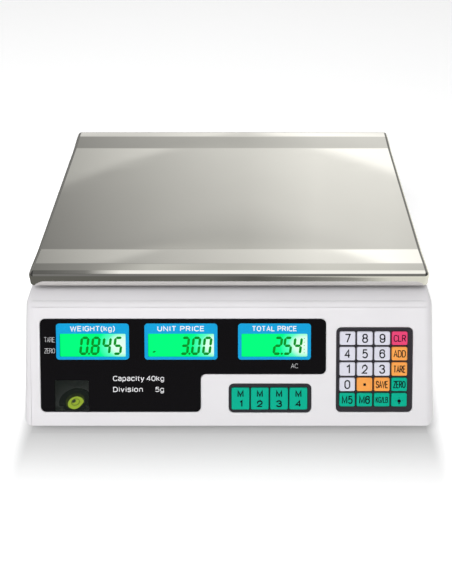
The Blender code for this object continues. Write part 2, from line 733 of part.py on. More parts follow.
def make_pan_support():
    """The cross that carries the pan: a hub with a post down to the load cell, and four arms."""
    hub_x = CELL_SIZE.x / 2 - CELL_END / 2
    hub = rounded_box(
        (-35 * MM, CELL_CENTRE.y - 26 * MM, ARM_BOTTOM_Z),
        (hub_x + 22 * MM, CELL_CENTRE.y + 26 * MM, ARM_TOP_Z),
        5 * MM,
    )
    support = solid("pan_support", hub, CAST_ALUMINIUM)
    arm_length = 2 * ARM_REACH.length
    half_arm = Vector((arm_length / 2, 8 * MM, 0))
    for side in (-1, 1):
        low = -half_arm + Vector((0, 0, ARM_BOTTOM_Z + 1 * MM))
        high = half_arm + Vector((0, 0, ARM_TOP_Z - 1 * MM))
        arm = tool(f"arm_{side}", boxes((low, high)), location=CELL_CENTRE)
        arm.rotation_euler.z = side * math.atan2(ARM_REACH.y, ARM_REACH.x)
        join(support, arm)
    post_half = CELL_END / 2
    post_bottom = CELL_Z + CELL_SIZE.z + GAP
    post = boxes(
        (
            (hub_x - post_half, CELL_CENTRE.y - post_half, post_bottom),
            (hub_x + post_half, CELL_CENTRE.y + post_half, ARM_BOTTOM_Z + 2 * MM),
        )
    )
    discs = cylinders(13 * MM, ARM_BOTTOM_Z, ARM_TOP_Z, corner_points(), 24)
    join(support, tool("support_post", post), tool("support_discs", discs))
    seats = cylinders(PAD_STEM_RADIUS + GAP, ARM_TOP_Z - 5 * MM, ARM_TOP_Z + 1 * MM, corner_points())
    cut(support, tool("pad_seats", seats))


def turned(name, profile, finish, location, steps=24, parent=None):
    """A round part from a profile of (radius, z) points that starts and ends on the axis."""
    mesh = bpy.data.meshes.new(name)
    points = [(radius, 0, z) for radius, z in profile]
    mesh.from_pydata(points, [(i, i + 1) for i in range(len(points) - 1)], [])
    obj = part_of(name, mesh, finish, parent, location)
    screw = obj.modifiers.new("turn", "SCREW")
    screw.steps = screw.render_steps = steps
    screw.use_merge_vertices = True
    screw.merge_threshold = 0.00001
    return obj


def make_support_pads():
    names = ("pad_front_left", "pad_rear_left", "pad_front_right", "pad_rear_right")
    top = PAN_TOP_Z - PAN_SINK - PAN_SHEET - GAP - ARM_TOP_Z
    profile = [
        (0, top),
        (PAD_RADIUS - 1.5 * MM, top),
        (PAD_RADIUS, top - 1.5 * MM),
        (PAD_RADIUS, GAP),
        (PAD_STEM_RADIUS, GAP),
        (PAD_STEM_RADIUS, -4.5 * MM),
        (0, -4.5 * MM),
    ]
    for name, (x, y) in zip(names, corner_points()):
        turned(name, profile, RUBBER, (x, y, ARM_TOP_Z), 16)


def make_load_cell():
    """A single-point cell: a bar bolted down at its left end, with a double bore that lets it bend."""
    half = CELL_SIZE / 2
    centre = CELL_CENTRE + Vector((0, 0, CELL_Z + half.z))
    cell = solid("load_cell", boxes((centre - half, centre + half)), CAST_ALUMINIUM)
    bore_radius = 7.5 * MM
    bore_offset = 14 * MM
    ends_y = (centre.y - half.y - 2 * MM, centre.y + half.y + 2 * MM)
    for side in (-1, 1):
        bore = lying_cylinder(bore_radius, *ends_y, side * bore_offset, centre.z, 20)
        cut(cell, tool(f"cell_bore_{side}", bore))
    slot = (
        (-bore_offset, ends_y[0], centre.z - 2 * MM),
        (bore_offset, ends_y[1], centre.z + 2 * MM),
    )
    bolt_centres = [
        (side * (half.x - CELL_END / 2), centre.y + offset)
        for side in (-1, 1)
        for offset in (-7.5 * MM, 7.5 * MM)
    ]
    bolts = cylinders(BOLT_HOLE_RADIUS, CELL_Z - 1 * MM, CELL_Z + CELL_SIZE.z + 1 * MM, bolt_centres)
    cut(cell, tool("cell_slot", boxes(slot)), tool("cell_bolt_holes", bolts))

    plate = ((-72 * MM, -6 * MM, CARRIER_Z), (80 * MM, 70 * MM, CARRIER_Z + CARRIER_THICKNESS))
    carrier = solid("load_cell_carrier", boxes(plate), STEEL)
    block = (
        (-half.x, centre.y - half.y, CARRIER_Z + CARRIER_THICKNESS / 2),
        (-half.x + CELL_END, centre.y + half.y, CELL_Z - GAP),
    )
    join(carrier, tool("carrier_block", boxes(block)))
    holes = cylinders(2.2 * MM, CARRIER_Z - 1 * MM, CARRIER_Z + 6 * MM, plate_hole_centres(), 12)
    cut(carrier, tool("carrier_holes", holes))


def plate_hole_centres():
    """Where the carrier plate is screwed to the tray."""
    return [(x * MM, y * MM) for x in (-65, 73) for y in (1, 63)]


# ---------------------------------------------------------------- base tray


def make_base_shell():
    clear = WALL + 0.4 * MM
    tray = solid(
        "base_shell",
        housing_block(BASE_Z, TRAY_RIM_Z, clear, CORNER_RADIUS - clear),
        BASE_PLASTIC,
    )
    inner = housing_block(FLOOR_TOP, TRAY_RIM_Z + 5 * MM, clear + 2.2 * MM, 4 * MM)
    half_width, front, _ = housing_outline(FLOOR_TOP, clear + 2.2 * MM)
    front_gap = (
        (-half_width - 10 * MM, front - 10 * MM, FLOOR_TOP),
        (half_width + 10 * MM, front + 20 * MM, TRAY_RIM_Z + 5 * MM),
    )
    cut(tray, tool("tray_hollow", inner), tool("tray_front_gap", boxes(front_gap)))

    ribs = boxes(
        ((-164 * MM, -57 * MM, FLOOR_TOP - 1 * MM), (164 * MM, -55 * MM, 18 * MM)),
        ((-164 * MM, 97 * MM, FLOOR_TOP - 1 * MM), (164 * MM, 99 * MM, 18 * MM)),
    )
    bosses = cylinders(BOSS_RADIUS, BASE_Z, BOSS_TOP_Z, FEET.values(), 24)
    join(
        tray,
        tool("tray_ribs", ribs),
        tool("foot_bosses", bosses),
        tool("battery_walls", battery_walls()),
        tool("level_shelf", level_shelf()),
        tool("level_legs", level_legs()),
    )
    pocket = cylinders(BOSS_POCKET_RADIUS, 0, BOSS_POCKET_TOP_Z, FEET.values(), 20)
    bore = cylinders(STUD_RADIUS + GAP, 0, 40 * MM, FEET.values(), 16)
    screw_holes = cylinders(SCREW_HOLE_RADIUS, 0, 20 * MM, SCREW_POSTS, 12)
    screw_heads = cylinders(SCREW_HEAD_RADIUS, 0, BASE_Z + 1.3 * MM, SCREW_POSTS, 16)
    cut(
        tray,
        tool("boss_pockets", pocket),
        tool("boss_bores", bore),
        tool("screw_holes", screw_holes),
        tool("screw_head_pockets", screw_heads),
        tool("battery_opening", battery_opening()),
        tool("door_pin_holes", door_pin_holes()),
        tool("speaker_slots", speaker_slots()),
        tool("level_well", cylinder(11 * MM, 16 * MM, 22 * MM, 24, LEVEL_CENTRE.xy)),
    )


def level_shelf():
    """The shelf round the bubble level, seen through the window in the front panel."""
    return boxes(((-149 * MM, -151.5 * MM, 17 * MM), (-112 * MM, -131 * MM, 20 * MM)))


def level_legs():
    low, high = FLOOR_TOP - 1 * MM, 18 * MM
    return boxes(
        ((-147 * MM, -151 * MM, low), (-145 * MM, -135 * MM, high)),
        ((-114 * MM, -151 * MM, low), (-112 * MM, -135 * MM, high)),
        ((-143 * MM, -133.5 * MM, low), (-116 * MM, -131.5 * MM, high)),
    )


def battery_walls():
    """Walls round the battery opening, and the two brackets that hold the door's pins."""
    low, high = FLOOR_TOP - 1 * MM, 24 * MM
    right = DOOR_FREE_X + 0.6 * MM
    front, rear = DOOR_Y[0] - 0.6 * MM, DOOR_Y[1] + 0.6 * MM
    bracket = 4.5 * MM
    hinge = DOOR_AXIS.x
    return boxes(
        ((right, front, low), (right + 2 * MM, rear, high)),
        ((hinge + 5 * MM, front - 2 * MM, low), (right - 1 * MM, front, high)),
        ((hinge + 5 * MM, rear, low), (right - 1 * MM, rear + 2 * MM, high)),
        ((hinge - 4 * MM, front - bracket, low), (hinge + 4 * MM, front, 17 * MM)),
        ((hinge - 4 * MM, rear, low), (hinge + 4 * MM, rear + bracket, 17 * MM)),
    )


def battery_opening():
    left = DOOR_AXIS.x - DOOR_BARREL_RADIUS - GAP
    return boxes(
        ((left, DOOR_Y[0] - GAP, 0), (DOOR_FREE_X + GAP, DOOR_Y[1] + GAP, FLOOR_TOP + 4 * MM))
    )


def door_pin_holes():
    reach = DOOR_PIN + 0.5 * MM
    radius = DOOR_PIN_RADIUS + GAP
    return lying_cylinder(radius, DOOR_Y[0] - reach, DOOR_Y[1] + reach, DOOR_AXIS.x, DOOR_AXIS.z)


def speaker_slots():
    return boxes(
        *(
            ((100 * MM, y * MM, 0), (130 * MM, (y + 2.5) * MM, FLOOR_TOP + 1 * MM))
            for y in range(-92, -64, 6)
        )
    )


def make_battery_door():
    """A flap that hangs on a round barrel along its left edge and opens downwards."""
    low = Vector((DOOR_AXIS.x, DOOR_Y[0], BASE_Z))
    high = Vector((DOOR_FREE_X, DOOR_Y[1], FLOOR_TOP))
    door = solid(
        "battery_door", boxes((low - DOOR_AXIS, high - DOOR_AXIS)), BASE_PLASTIC, None, DOOR_AXIS
    )
    barrel = lying_cylinder(DOOR_BARREL_RADIUS, *DOOR_Y, 0, 0)
    pins = lying_cylinder(
        DOOR_PIN_RADIUS, DOOR_Y[0] - DOOR_PIN, DOOR_Y[1] + DOOR_PIN, 0, 0, 12
    )
    inside = [
        ((-150 * MM, -21 * MM, FLOOR_TOP - 1 * MM), (-92 * MM, -19 * MM, 15.2 * MM)),
        ((-150 * MM, 40 * MM, FLOOR_TOP - 1 * MM), (-92 * MM, 42 * MM, 15.2 * MM)),
        ((-84.5 * MM, 0.5 * MM, FLOOR_TOP - 1 * MM), (-82.9 * MM, 20.5 * MM, 18 * MM)),
    ]
    join(
        door,
        tool("door_barrel", barrel, None, DOOR_AXIS),
        tool("door_pins", pins, None, DOOR_AXIS),
        tool("door_ribs", boxes(*inside)),
    )
    grip = ((-92 * MM, 2.5 * MM, 0), (-85.5 * MM, 18.5 * MM, BASE_Z + 1.1 * MM))
    cut(door, tool("door_finger_notch", boxes(grip)))


# ---------------------------------------------------------------- electrics


def make_battery():
    body = rounded_box(BATTERY_LOW, BATTERY_HIGH, 2 * MM, 1)
    battery = solid("battery", body, BATTERY_CASE)
    end_y = BATTERY_HIGH.y
    terminals = boxes(
        *(
            ((x * MM, end_y - 1 * MM, 52 * MM), ((x + 6) * MM, end_y + 5 * MM, 53.5 * MM))
            for x in (-146, -102)
        )
    )
    join(battery, tool("battery_terminals", terminals))


def make_transformer():
    floor = FLOOR_TOP + GAP
    core = ((95 * MM, -24 * MM, floor), (143 * MM, 6 * MM, floor + 38 * MM))
    winding = ((105 * MM, -31 * MM, floor + 6 * MM), (133 * MM, 13 * MM, floor + 32 * MM))
    foot = ((86 * MM, -15 * MM, floor), (152 * MM, -3 * MM, floor + 1.5 * MM))
    transformer = solid("transformer", boxes(core), COPPER)
    join(transformer, tool("winding", boxes(winding)), tool("transformer_foot", boxes(foot)))


def make_main_board():
    floor = FLOOR_TOP + GAP
    low_z = 24 * MM
    board = ((88 * MM, 26 * MM, low_z), (158 * MM, 116 * MM, low_z + BOARD))
    obj = solid("main_board", boxes(board), CIRCUIT_BOARD)
    posts = [(x * MM, y * MM) for x in (92, 154) for y in (30, 112)]
    spacers = cylinders(2.5 * MM, floor, low_z + BOARD / 2, posts, 12)
    half_way = low_z + BOARD / 2
    chips = boxes(
        ((100 * MM, 60 * MM, half_way), (114 * MM, 74 * MM, 28 * MM)),
        ((120 * MM, 80 * MM, half_way), (130 * MM, 104 * MM, 28.5 * MM)),
        ((94 * MM, 34 * MM, half_way), (100 * MM, 54 * MM, 33 * MM)),
        ((140 * MM, 90 * MM, half_way), (152 * MM, 104 * MM, 31 * MM)),
    )
    buzzer = cylinder(6 * MM, half_way, 33 * MM, 20, (112 * MM, 42 * MM))
    join(
        obj,
        tool("board_spacers", spacers),
        tool("board_chips", chips),
        tool("buzzer", buzzer),
    )


def make_power_switch():
    centre = SWITCH_AT
    bezel = panel_box(centre, SWITCH_BEZEL, GAP, GAP + BEZEL_THICKNESS)
    body = panel_box(centre, SWITCH_BODY, -SWITCH_DEPTH, GAP + BEZEL_THICKNESS / 2)
    switch = solid("power_switch_body", rounded_box(*bezel, 2 * MM, 2), SWITCH_BLACK, SIDE_PANEL)
    join(switch, tool("switch_case", boxes(body), SIDE_PANEL))
    well = panel_box(centre, (16.8 * MM, 10.4 * MM), -4.2 * MM, 5 * MM)
    cut(switch, tool("rocker_well", boxes(well), SIDE_PANEL))

    half = ROCKER_LENGTH / 2
    profile = [
        (-half + 1.2 * MM, -3 * MM),
        (half - 1.2 * MM, -3 * MM),
        (half, 1.6 * MM),
        (0, 0.8 * MM),
        (-half, 1.6 * MM),
    ]
    bm = prism(profile, -ROCKER_WIDTH / 2, ROCKER_WIDTH / 2)
    bmesh.ops.rotate(bm, matrix=Matrix.Rotation(math.pi / 2, 3, "X"), verts=bm.verts)
    at = (*centre, ROCKER_PIVOT_W)
    rocker = solid("power_switch_rocker", bm, SWITCH_RED, SIDE_PANEL, at)
    rocker.rotation_euler.y = ROCKER_TILT


def make_power_inlet():
    centre = INLET_AT
    top = GAP + BEZEL_THICKNESS
    bezel = panel_box(centre, INLET_BEZEL, GAP, top)
    body = panel_box(centre, INLET_BODY, -INLET_DEPTH, GAP + BEZEL_THICKNESS / 2)
    inlet = solid("power_inlet", rounded_box(*bezel, 2 * MM, 2), SWITCH_BLACK, SIDE_PANEL)
    join(inlet, tool("inlet_case", boxes(body), SIDE_PANEL))
    recess = panel_box(centre, INLET_RECESS, top - INLET_RECESS_DEPTH, 5 * MM)
    cut(inlet, tool("inlet_recess", rounded_box(*recess, 4.1 * MM, 4), SIDE_PANEL))
    pins = [(centre[0] + side * INLET_PIN_SPACING / 2, centre[1]) for side in (-1, 1)]
    pin_bottom = top - INLET_RECESS_DEPTH - 1 * MM
    pin_mesh = cylinders(INLET_PIN_RADIUS, pin_bottom, top - 2 * MM, pins, 12)
    join(inlet, tool("inlet_pins", pin_mesh, SIDE_PANEL))


def make_level_vial():
    height = LEVEL_TOP_Z - FLOOR_TOP - GAP
    profile = [
        (0, height),
        (LEVEL_RADIUS - 1 * MM, height),
        (LEVEL_RADIUS, height - 1 * MM),
        (LEVEL_RADIUS, 0),
        (0, 0),
    ]
    location = LEVEL_CENTRE + Vector((0, 0, FLOOR_TOP + GAP))
    turned("level_vial", profile, VIAL_GREEN, location, 24)


# ---------------------------------------------------------------- feet


def make_feet():
    """Each foot is a stud with a lock collar, and a knob with a rubber sole that turns it."""
    stud = [
        (0, STUD_TOP_Z),
        (STUD_RADIUS - 0.6 * MM, STUD_TOP_Z),
        (STUD_RADIUS, STUD_TOP_Z - 0.6 * MM),
        (STUD_RADIUS, STUD_COLLAR[1]),
        (STUD_COLLAR_RADIUS, STUD_COLLAR[1]),
        (STUD_COLLAR_RADIUS, STUD_COLLAR[0]),
        (STUD_RADIUS, STUD_COLLAR[0]),
        (STUD_RADIUS, STUD_BOTTOM_Z),
        (0, STUD_BOTTOM_Z),
    ]
    socket = STUD_RADIUS + GAP
    knob = [
        (0, STUD_BOTTOM_Z - GAP),
        (socket, STUD_BOTTOM_Z - GAP),
        (socket, FOOT_HEIGHT),
        (FOOT_RADIUS - 3 * MM, FOOT_HEIGHT),
        (FOOT_RADIUS - 1 * MM, FOOT_HEIGHT - 2 * MM),
        (FOOT_RADIUS, 1.5 * MM),
        (FOOT_RADIUS - 1 * MM, 0),
        (0, 0),
    ]
    for side, (x, y) in FEET.items():
        turned(f"foot_stud_{side}", stud, STEEL, (x, y, 0), 12)
        turned(f"foot_{side}", knob, RUBBER, (x, y, 0), 20)


make_top_shell()
make_base_shell()
make_windows()
make_displays()
make_key_frame("keypad_frame", NUMERIC_FRAME, numeric_key_places(), NUMERIC_KEY)
make_key_frame("memory_key_frame", MEMORY_FRAME, memory_key_places(), MEMORY_KEY)
make_key_board()
make_keys()
make_pan()
make_pan_support()
make_support_pads()
make_load_cell()
make_battery()
make_battery_door()
make_transformer()
make_main_board()
make_power_switch()
make_power_inlet()
make_level_vial()
make_feet()
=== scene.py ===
"""Looks of the retail price scale: fine surfaces, legends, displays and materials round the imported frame.

Metres, in the frame's axes: +X to the vendor's right, +Y to the customer side, +Z up.
"""

import json
import math

import bmesh
import bpy
from mathutils import Matrix, Vector


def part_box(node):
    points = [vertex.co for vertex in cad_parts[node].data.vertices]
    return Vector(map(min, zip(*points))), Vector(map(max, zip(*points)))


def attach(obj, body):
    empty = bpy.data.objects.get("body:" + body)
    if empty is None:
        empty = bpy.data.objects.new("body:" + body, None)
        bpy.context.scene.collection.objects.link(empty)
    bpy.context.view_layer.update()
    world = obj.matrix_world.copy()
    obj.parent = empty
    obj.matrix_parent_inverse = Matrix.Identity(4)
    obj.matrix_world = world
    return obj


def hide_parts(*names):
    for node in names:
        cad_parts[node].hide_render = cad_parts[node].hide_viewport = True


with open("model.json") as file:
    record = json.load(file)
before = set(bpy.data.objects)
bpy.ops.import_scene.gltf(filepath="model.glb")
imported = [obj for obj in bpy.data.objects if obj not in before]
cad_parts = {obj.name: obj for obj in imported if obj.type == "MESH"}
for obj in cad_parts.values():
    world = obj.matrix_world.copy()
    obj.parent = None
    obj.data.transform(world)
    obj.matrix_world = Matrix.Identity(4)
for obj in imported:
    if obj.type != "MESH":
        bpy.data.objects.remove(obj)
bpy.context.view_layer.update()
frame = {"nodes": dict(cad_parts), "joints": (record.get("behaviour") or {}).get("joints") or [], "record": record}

MM = 0.001
GAP = 0.3 * MM
WORLD = Matrix.Identity(4)

# ---------------------------------------------------------------- places, read from the frame


def joint(name):
    return next(j for j in frame["joints"] if j["name"] == name)


shell_low, shell_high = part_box("top_shell")
HALF_WIDTH = shell_high.x
FRONT_Y, REAR_Y = shell_low.y, shell_high.y
BASE_Z = shell_low.z
COLLAR_RISE = 2 * MM  # the drip collar round the support's post stands this far above the ledge
LEDGE_Z = shell_high.z - COLLAR_RISE
RISE = LEDGE_Z - BASE_Z
REAR_SET_BACK = 9 * MM  # how far the rear wall leans in at the ledge
SIDE_SET_BACK = 2.5 * MM  # and each side wall

key_push = joint("key_5_press")["axis"]
rocker_axis = joint("power_rocker_hinge")["axis"]
FRONT_TILT = math.atan2(-key_push[2], key_push[1])
POCKET_TILT = math.atan2(-rocker_axis[0], rocker_axis[2])  # floors of the side fittings' pockets
SIDE_TILT = math.atan2(SIDE_SET_BACK, RISE)
REAR_TILT = math.atan2(REAR_SET_BACK, RISE)


def panel(origin, tilt, turn=0.0):
    """The frame of a leaning wall: X along it, Y up it and Z out of it."""
    lean = Matrix.Rotation(math.pi / 2 - tilt, 4, "X")
    return Matrix.Translation(origin) @ Matrix.Rotation(turn, 4, "Z") @ lean


FRONT = panel((0, FRONT_Y, BASE_Z), FRONT_TILT)
REAR = panel((0, REAR_Y, BASE_Z), REAR_TILT, math.pi)
SIDE = panel((HALF_WIDTH, 0, BASE_Z), POCKET_TILT, math.pi / 2)


def local_box(node, wall=WORLD):
    """Lowest and highest corner of a CAD node in a wall's own frame."""
    back = wall.inverted()
    points = [back @ v.co for v in frame["nodes"][node].data.vertices]
    return [Vector([pick(p[i] for p in points) for i in range(3)]) for pick in (min, max)]


def seat(node, wall=WORLD):
    """The spot on a wall's face over a CAD node's middle, and the node's corners in that wall's frame."""
    low, high = local_box(node, wall)
    middle = (low + high) / 2
    return wall @ Matrix.Translation((middle.x, middle.y, 0)), low, high


# ---------------------------------------------------------------- mesh building


def rect(cx, cy, width, height):
    """Corners of a rectangle, anticlockwise."""
    x, y = width / 2, height / 2
    return [(cx - x, cy - y), (cx + x, cy - y), (cx + x, cy + y), (cx - x, cy + y)]


def box_rect(low, high, grow=0.0):
    middle, size = (low + high) / 2, high - low
    return rect(middle.x, middle.y, size.x + 2 * grow, size.y + 2 * grow)


def outline(corners, radius, offset=0.0, steps=6):
    """Points round a polygon with rounded corners, moved outwards by an offset."""
    points = []
    for i, corner in enumerate(corners):
        here = Vector(corner)
        into = (here - Vector(corners[i - 1])).normalized()
        out = (Vector(corners[(i + 1) % len(corners)]) - here).normalized()
        turn = math.atan2(into.x * out.y - into.y * out.x, into.dot(out))
        bend = math.copysign(1, turn)
        left_in = Vector((-into.y, into.x))
        inward = (left_in + Vector((-out.y, out.x))).normalized()
        centre = here + inward * (bend * radius / inward.dot(left_in))
        reach = max(radius + bend * offset, 0.02 * MM)
        start = math.atan2(-bend * left_in.y, -bend * left_in.x)
        for step in range(steps + 1):
            angle = start + turn * step / steps
            points.append(centre + Vector((math.cos(angle), math.sin(angle))) * reach)
    return points


def skinned(rows, ring=False):
    """A closed surface through rows of points, a row of one point being a tip.

    A ring's last row meets its first, and other forms have flat ends.
    """
    bm = bmesh.new()
    rows = [[bm.verts.new(point) for point in row] for row in rows]
    for low, high in zip(rows, rows[1:] + rows[:1] if ring else rows[1:]):
        for i in range(max(len(low), len(high))):
            under = low if len(low) == 1 else [low[i - 1], low[i]]
            over = high if len(high) == 1 else [high[i], high[i - 1]]
            bm.faces.new(under + over)
    for end in (rows[0], rows[-1]):
        if len(end) > 1 and not ring:
            bm.faces.new(end)
    bmesh.ops.recalc_face_normals(bm, faces=bm.faces)
    return bm


def lofted(corners, radius, profile, steps=6):
    """A moulded form: one rounded outline repeated at each (offset, height) of a profile."""
    return skinned([[(*p, z) for p in outline(corners, radius, offset, steps)] for offset, z in profile])


def prism(corners, radius, low, high, steps=6):
    return lofted(corners, radius, [(0, low), (0, high)], steps)


def fillet(top, radius, offset=0.0, steps=4):
    """Profile points that round a top edge, from the side wall onto the top."""
    angles = [math.pi / 2 * step / steps for step in range(steps + 1)]
    return [(offset - radius * (1 - math.cos(a)), top - radius * (1 - math.sin(a))) for a in angles]


def slab(corners, radius, low, high, edge):
    """A rounded plate with a filleted top edge."""
    return lofted(corners, radius, [(0, low), *fillet(high, edge)])


def circle(radius, steps):
    angles = [2 * math.pi * i / steps for i in range(steps)]
    return [(radius * math.cos(a), radius * math.sin(a)) for a in angles]


def turned(profile, steps=48, ring=False):
    """A solid of revolution about Z from (radius, z) points that start and end on the axis, or a ring."""
    rows = [[(*p, z) for p in (circle(radius, steps) if radius else [(0, 0)])] for radius, z in profile]
    return skinned(rows, ring)


def turned_ring(inner, outer, low, high, steps=48):
    """A round ring with a rectangular section."""
    return turned([(inner, low), (outer, low), (outer, high), (inner, high)], steps, True)


def box_mesh(low, high):
    bm = bmesh.new()
    low, high = Vector(low), Vector(high)
    size = Matrix.Diagonal((*(high - low), 1))
    bmesh.ops.create_cube(bm, size=1, matrix=Matrix.Translation((low + high) / 2) @ size)
    return bm


def merge(*parts):
    """Joins several bmeshes that stand clear of each other into one."""
    whole = bmesh.new()
    for part in parts:
        mesh = bpy.data.meshes.new("part")
        part.to_mesh(mesh)
        part.free()
        whole.from_mesh(mesh)
        bpy.data.meshes.remove(mesh)
    return whole


def shifted(bm, offset):
    bmesh.ops.translate(bm, vec=offset, verts=bm.verts)
    return bm


def make_object(name, bm, wall=WORLD):
    mesh = bpy.data.meshes.new(name)
    bm.to_mesh(mesh)
    bm.free()
    obj = bpy.data.objects.new(name, mesh)
    bpy.context.scene.collection.objects.link(obj)
    obj.matrix_world = wall
    return obj


def dress(obj, material, body, replaces=(), degrees=32):
    """Makes an object a visible piece that rides on a body, and stands for some CAD nodes.

    Its shading is smooth, with sharp creases and flat faces kept flat.
    """
    obj.data.materials.clear()
    obj.data.materials.append(material)
    obj.data.shade_smooth()
    obj.data.set_sharp_from_angle(angle=math.radians(degrees))
    obj.modifiers.new("flat faces", "WEIGHTED_NORMAL").keep_sharp = True
    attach(obj, body)
    if replaces:
        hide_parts(*replaces)


def add_piece(name, bm, material, body, wall=WORLD, replaces=(), degrees=32):
    dress(make_object(name, bm, wall), material, body, replaces, degrees)


def cut(bm, wall=WORLD):
    return "DIFFERENCE", bm, wall


def combined(obj, operations):
    """Applies a list of ("UNION" or "DIFFERENCE", bmesh, wall) to an object, and keeps one clean mesh."""
    helpers = []
    for operation, bm, wall in operations:
        helpers.append(make_object("shape", bm, wall))
        modifier = obj.modifiers.new(operation, "BOOLEAN")
        modifier.operation = operation
        modifier.object = helpers[-1]
    bpy.context.view_layer.update()
    graph = bpy.context.evaluated_depsgraph_get()
    mesh = bpy.data.meshes.new_from_object(obj.evaluated_get(graph))
    obj.modifiers.clear()
    obj.data = mesh
    for helper in helpers:
        bpy.data.objects.remove(helper)
    return obj


# ---------------------------------------------------------------- materials


def add_node(tree, kind, inputs, output=0, **settings):
    """A shader node whose inputs are values or the sockets that feed them. Gives one of its outputs."""
    node = tree.nodes.new("ShaderNode" + kind)
    for name, value in settings.items():
        setattr(node, name, value)
    for name, value in inputs.items():
        if isinstance(value, bpy.types.NodeSocket):
            tree.links.new(value, node.inputs[name])
        else:
            node.inputs[name].default_value = value
    return node.outputs[output]


def compute(tree, operation, *values, kind="Math", output="Value"):
    return add_node(tree, kind, dict(enumerate(values)), output, operation=operation)


def ramp(tree, value, stops):
    node = tree.nodes.new("ShaderNodeValToRGB")
    elements = node.color_ramp.elements
    while len(elements) < len(stops):
        elements.new(0.5)
    for element, (position, colour) in zip(elements, stops):
        element.position = position
        element.color = (*colour, 1)
    tree.links.new(value, node.inputs["Fac"])
    return node.outputs["Color"]


def graded(tree, value, stops, low=0.0, high=1.0, blue=0.985):
    """Grey levels at stops of (value, level) between two limits."""
    share = add_node(tree, "MapRange", {"Value": value, "From Min": low, "From Max": high}, "Result")
    greys = [((at - low) / (high - low), (level, level, level * blue)) for at, level in stops]
    return ramp(tree, share, greys)


def either(tree, factor, first, second):
    return add_node(tree, "MixShader", {"Fac": factor, 1: first, 2: second}, "Shader")


class Finish:
    """A Principled material under construction, with its textures in the object's own metres."""

    def __init__(self, name, colour, roughness, metallic=0.0, **sockets):
        self.material = bpy.data.materials.new(name)
        self.material.use_nodes = True
        self.tree = self.material.node_tree
        self.shader = self.tree.nodes["Principled BSDF"]
        self.colour = colour
        self.roughness = roughness
        sockets.update(Base_Color=(*colour, 1), Roughness=roughness, Metallic=metallic)
        for socket, value in sockets.items():
            self.shader.inputs[socket.replace("_", " ")].default_value = value
        self.place = self.add("TexCoord", {}, "Object")
        self.bump = None

    def add(self, kind, inputs, output):
        return add_node(self.tree, kind, inputs, output)

    def feed(self, socket, output):
        self.tree.links.new(output, self.shader.inputs[socket])
        return self

    def noise(self, size, detail=2.0, stretch=(1, 1, 1)):
        """Noise whose patches are about size metres across."""
        place = self.add("Mapping", {"Vector": self.place, "Scale": stretch}, "Vector")
        return self.add("TexNoise", {"Vector": place, "Scale": 1 / size, "Detail": detail}, "Fac")

    def shades(self, size, spread):
        """Slight variation of the base colour."""
        darker, lighter = ([min(c * share, 1) for c in self.colour] for share in (1 - spread, 1 + spread))
        patches = self.noise(size, 3.0)
        return self.feed("Base Color", ramp(self.tree, patches, [(0.35, darker), (0.65, lighter)]))

    def gloss(self, size, spread, stretch=(1, 1, 1)):
        """Slight variation of the roughness, as from handling."""
        inputs = {"Value": self.noise(size, 4.0, stretch), "From Min": 0.3, "From Max": 0.7}
        inputs["To Min"] = max(self.roughness - spread, 0.02)
        inputs["To Max"] = self.roughness + spread
        return self.feed("Roughness", self.add("MapRange", inputs, "Result"))

    def grain(self, size, depth, strength=1.0, stretch=(1, 1, 1), detail=2.0):
        """Bump of a given grain size and depth in metres."""
        inputs = {"Strength": strength, "Distance": depth, "Height": self.noise(size, detail, stretch)}
        if self.bump:
            inputs["Normal"] = self.bump
        self.bump = self.add("Bump", inputs, "Normal")
        return self.feed("Normal", self.bump)


def finish(
    name, colour, roughness, metallic=0.0, shades=(45, 0.012), gloss=(12, 0.04), grain=(0.35, 0.012, 0.6),
    **sockets,
):
    """A common material. Patch sizes, and the grain's size and depth, are in millimetres."""
    made = Finish(name, colour, roughness, metallic, **sockets)
    made.shades(shades[0] * MM, shades[1]).gloss(gloss[0] * MM, gloss[1])
    if grain:
        made.grain(grain[0] * MM, grain[1] * MM, grain[2])
    return made.material


def ink(name, colour, roughness=0.4):
    return finish(name, colour, roughness, 0.0, (1.2, 0.05), (2, 0.05), None, Specular_IOR_Level=0.15)


def make_stainless():
    """Polished sheet: a faint brushing along X, slow waviness, and fine wipe marks."""
    made = Finish("polished_stainless", (0.80, 0.785, 0.755), 0.042, 1.0)
    made.shades(70 * MM, 0.01).gloss(18 * MM, 0.02, (0.35, 1, 1))
    made.grain(90 * MM, 0.20 * MM, 0.05, (0.6, 1, 1), 1.0)
    made.grain(0.25 * MM, 0.003 * MM, 0.12, (0.02, 1, 1))
    return made.material


def make_overlay():
    """The printed black sheet: glossy, with faint smears."""
    made = Finish("black_overlay", (0.002, 0.0015, 0.0025), 0.14, Specular_IOR_Level=0.3)
    return made.gloss(14 * MM, 0.06, (1, 0.5, 1)).grain(8 * MM, 0.03 * MM, 0.05).material


def make_lit_lcd():
    """Green backlit glass, with the lamp's pale glow round the object's origin."""
    made = Finish(
        "lcd_backlight", (0.0, 0.25, 0.05), 0.2, Specular_IOR_Level=0.1, Emission_Strength=0.86
    )
    reach = (1 / (24 * MM), 1 / (19 * MM), 1 / (24 * MM))
    scaled = made.add("Mapping", {"Vector": made.place, "Scale": reach}, "Vector")
    stops = [
        (0.0, (0.96, 1.0, 0.98)),
        (0.36, (0.80, 1.0, 0.92)),
        (0.58, (0.12, 1.0, 0.58)),
        (0.85, (0.0, 1.0, 0.30)),
        (1.0, (0.0, 0.96, 0.19)),
    ]
    glow = ramp(made.tree, compute(made.tree, "LENGTH", scaled, kind="VectorMath"), stops)
    return made.feed("Emission Color", glow).material


def make_painted_glow_liquid():
    # Painted glow: the liquid emits light of its own, though the level holds no lamp.
    light = {"Emission_Color": (0.60, 0.85, 0.06, 1), "Emission_Strength": 1.7}
    made = Finish("level_liquid_painted_glow", (0.60, 0.72, 0.05), 0.08, Coat_Weight=0.6, **light)
    return made.shades(3 * MM, 0.12).material


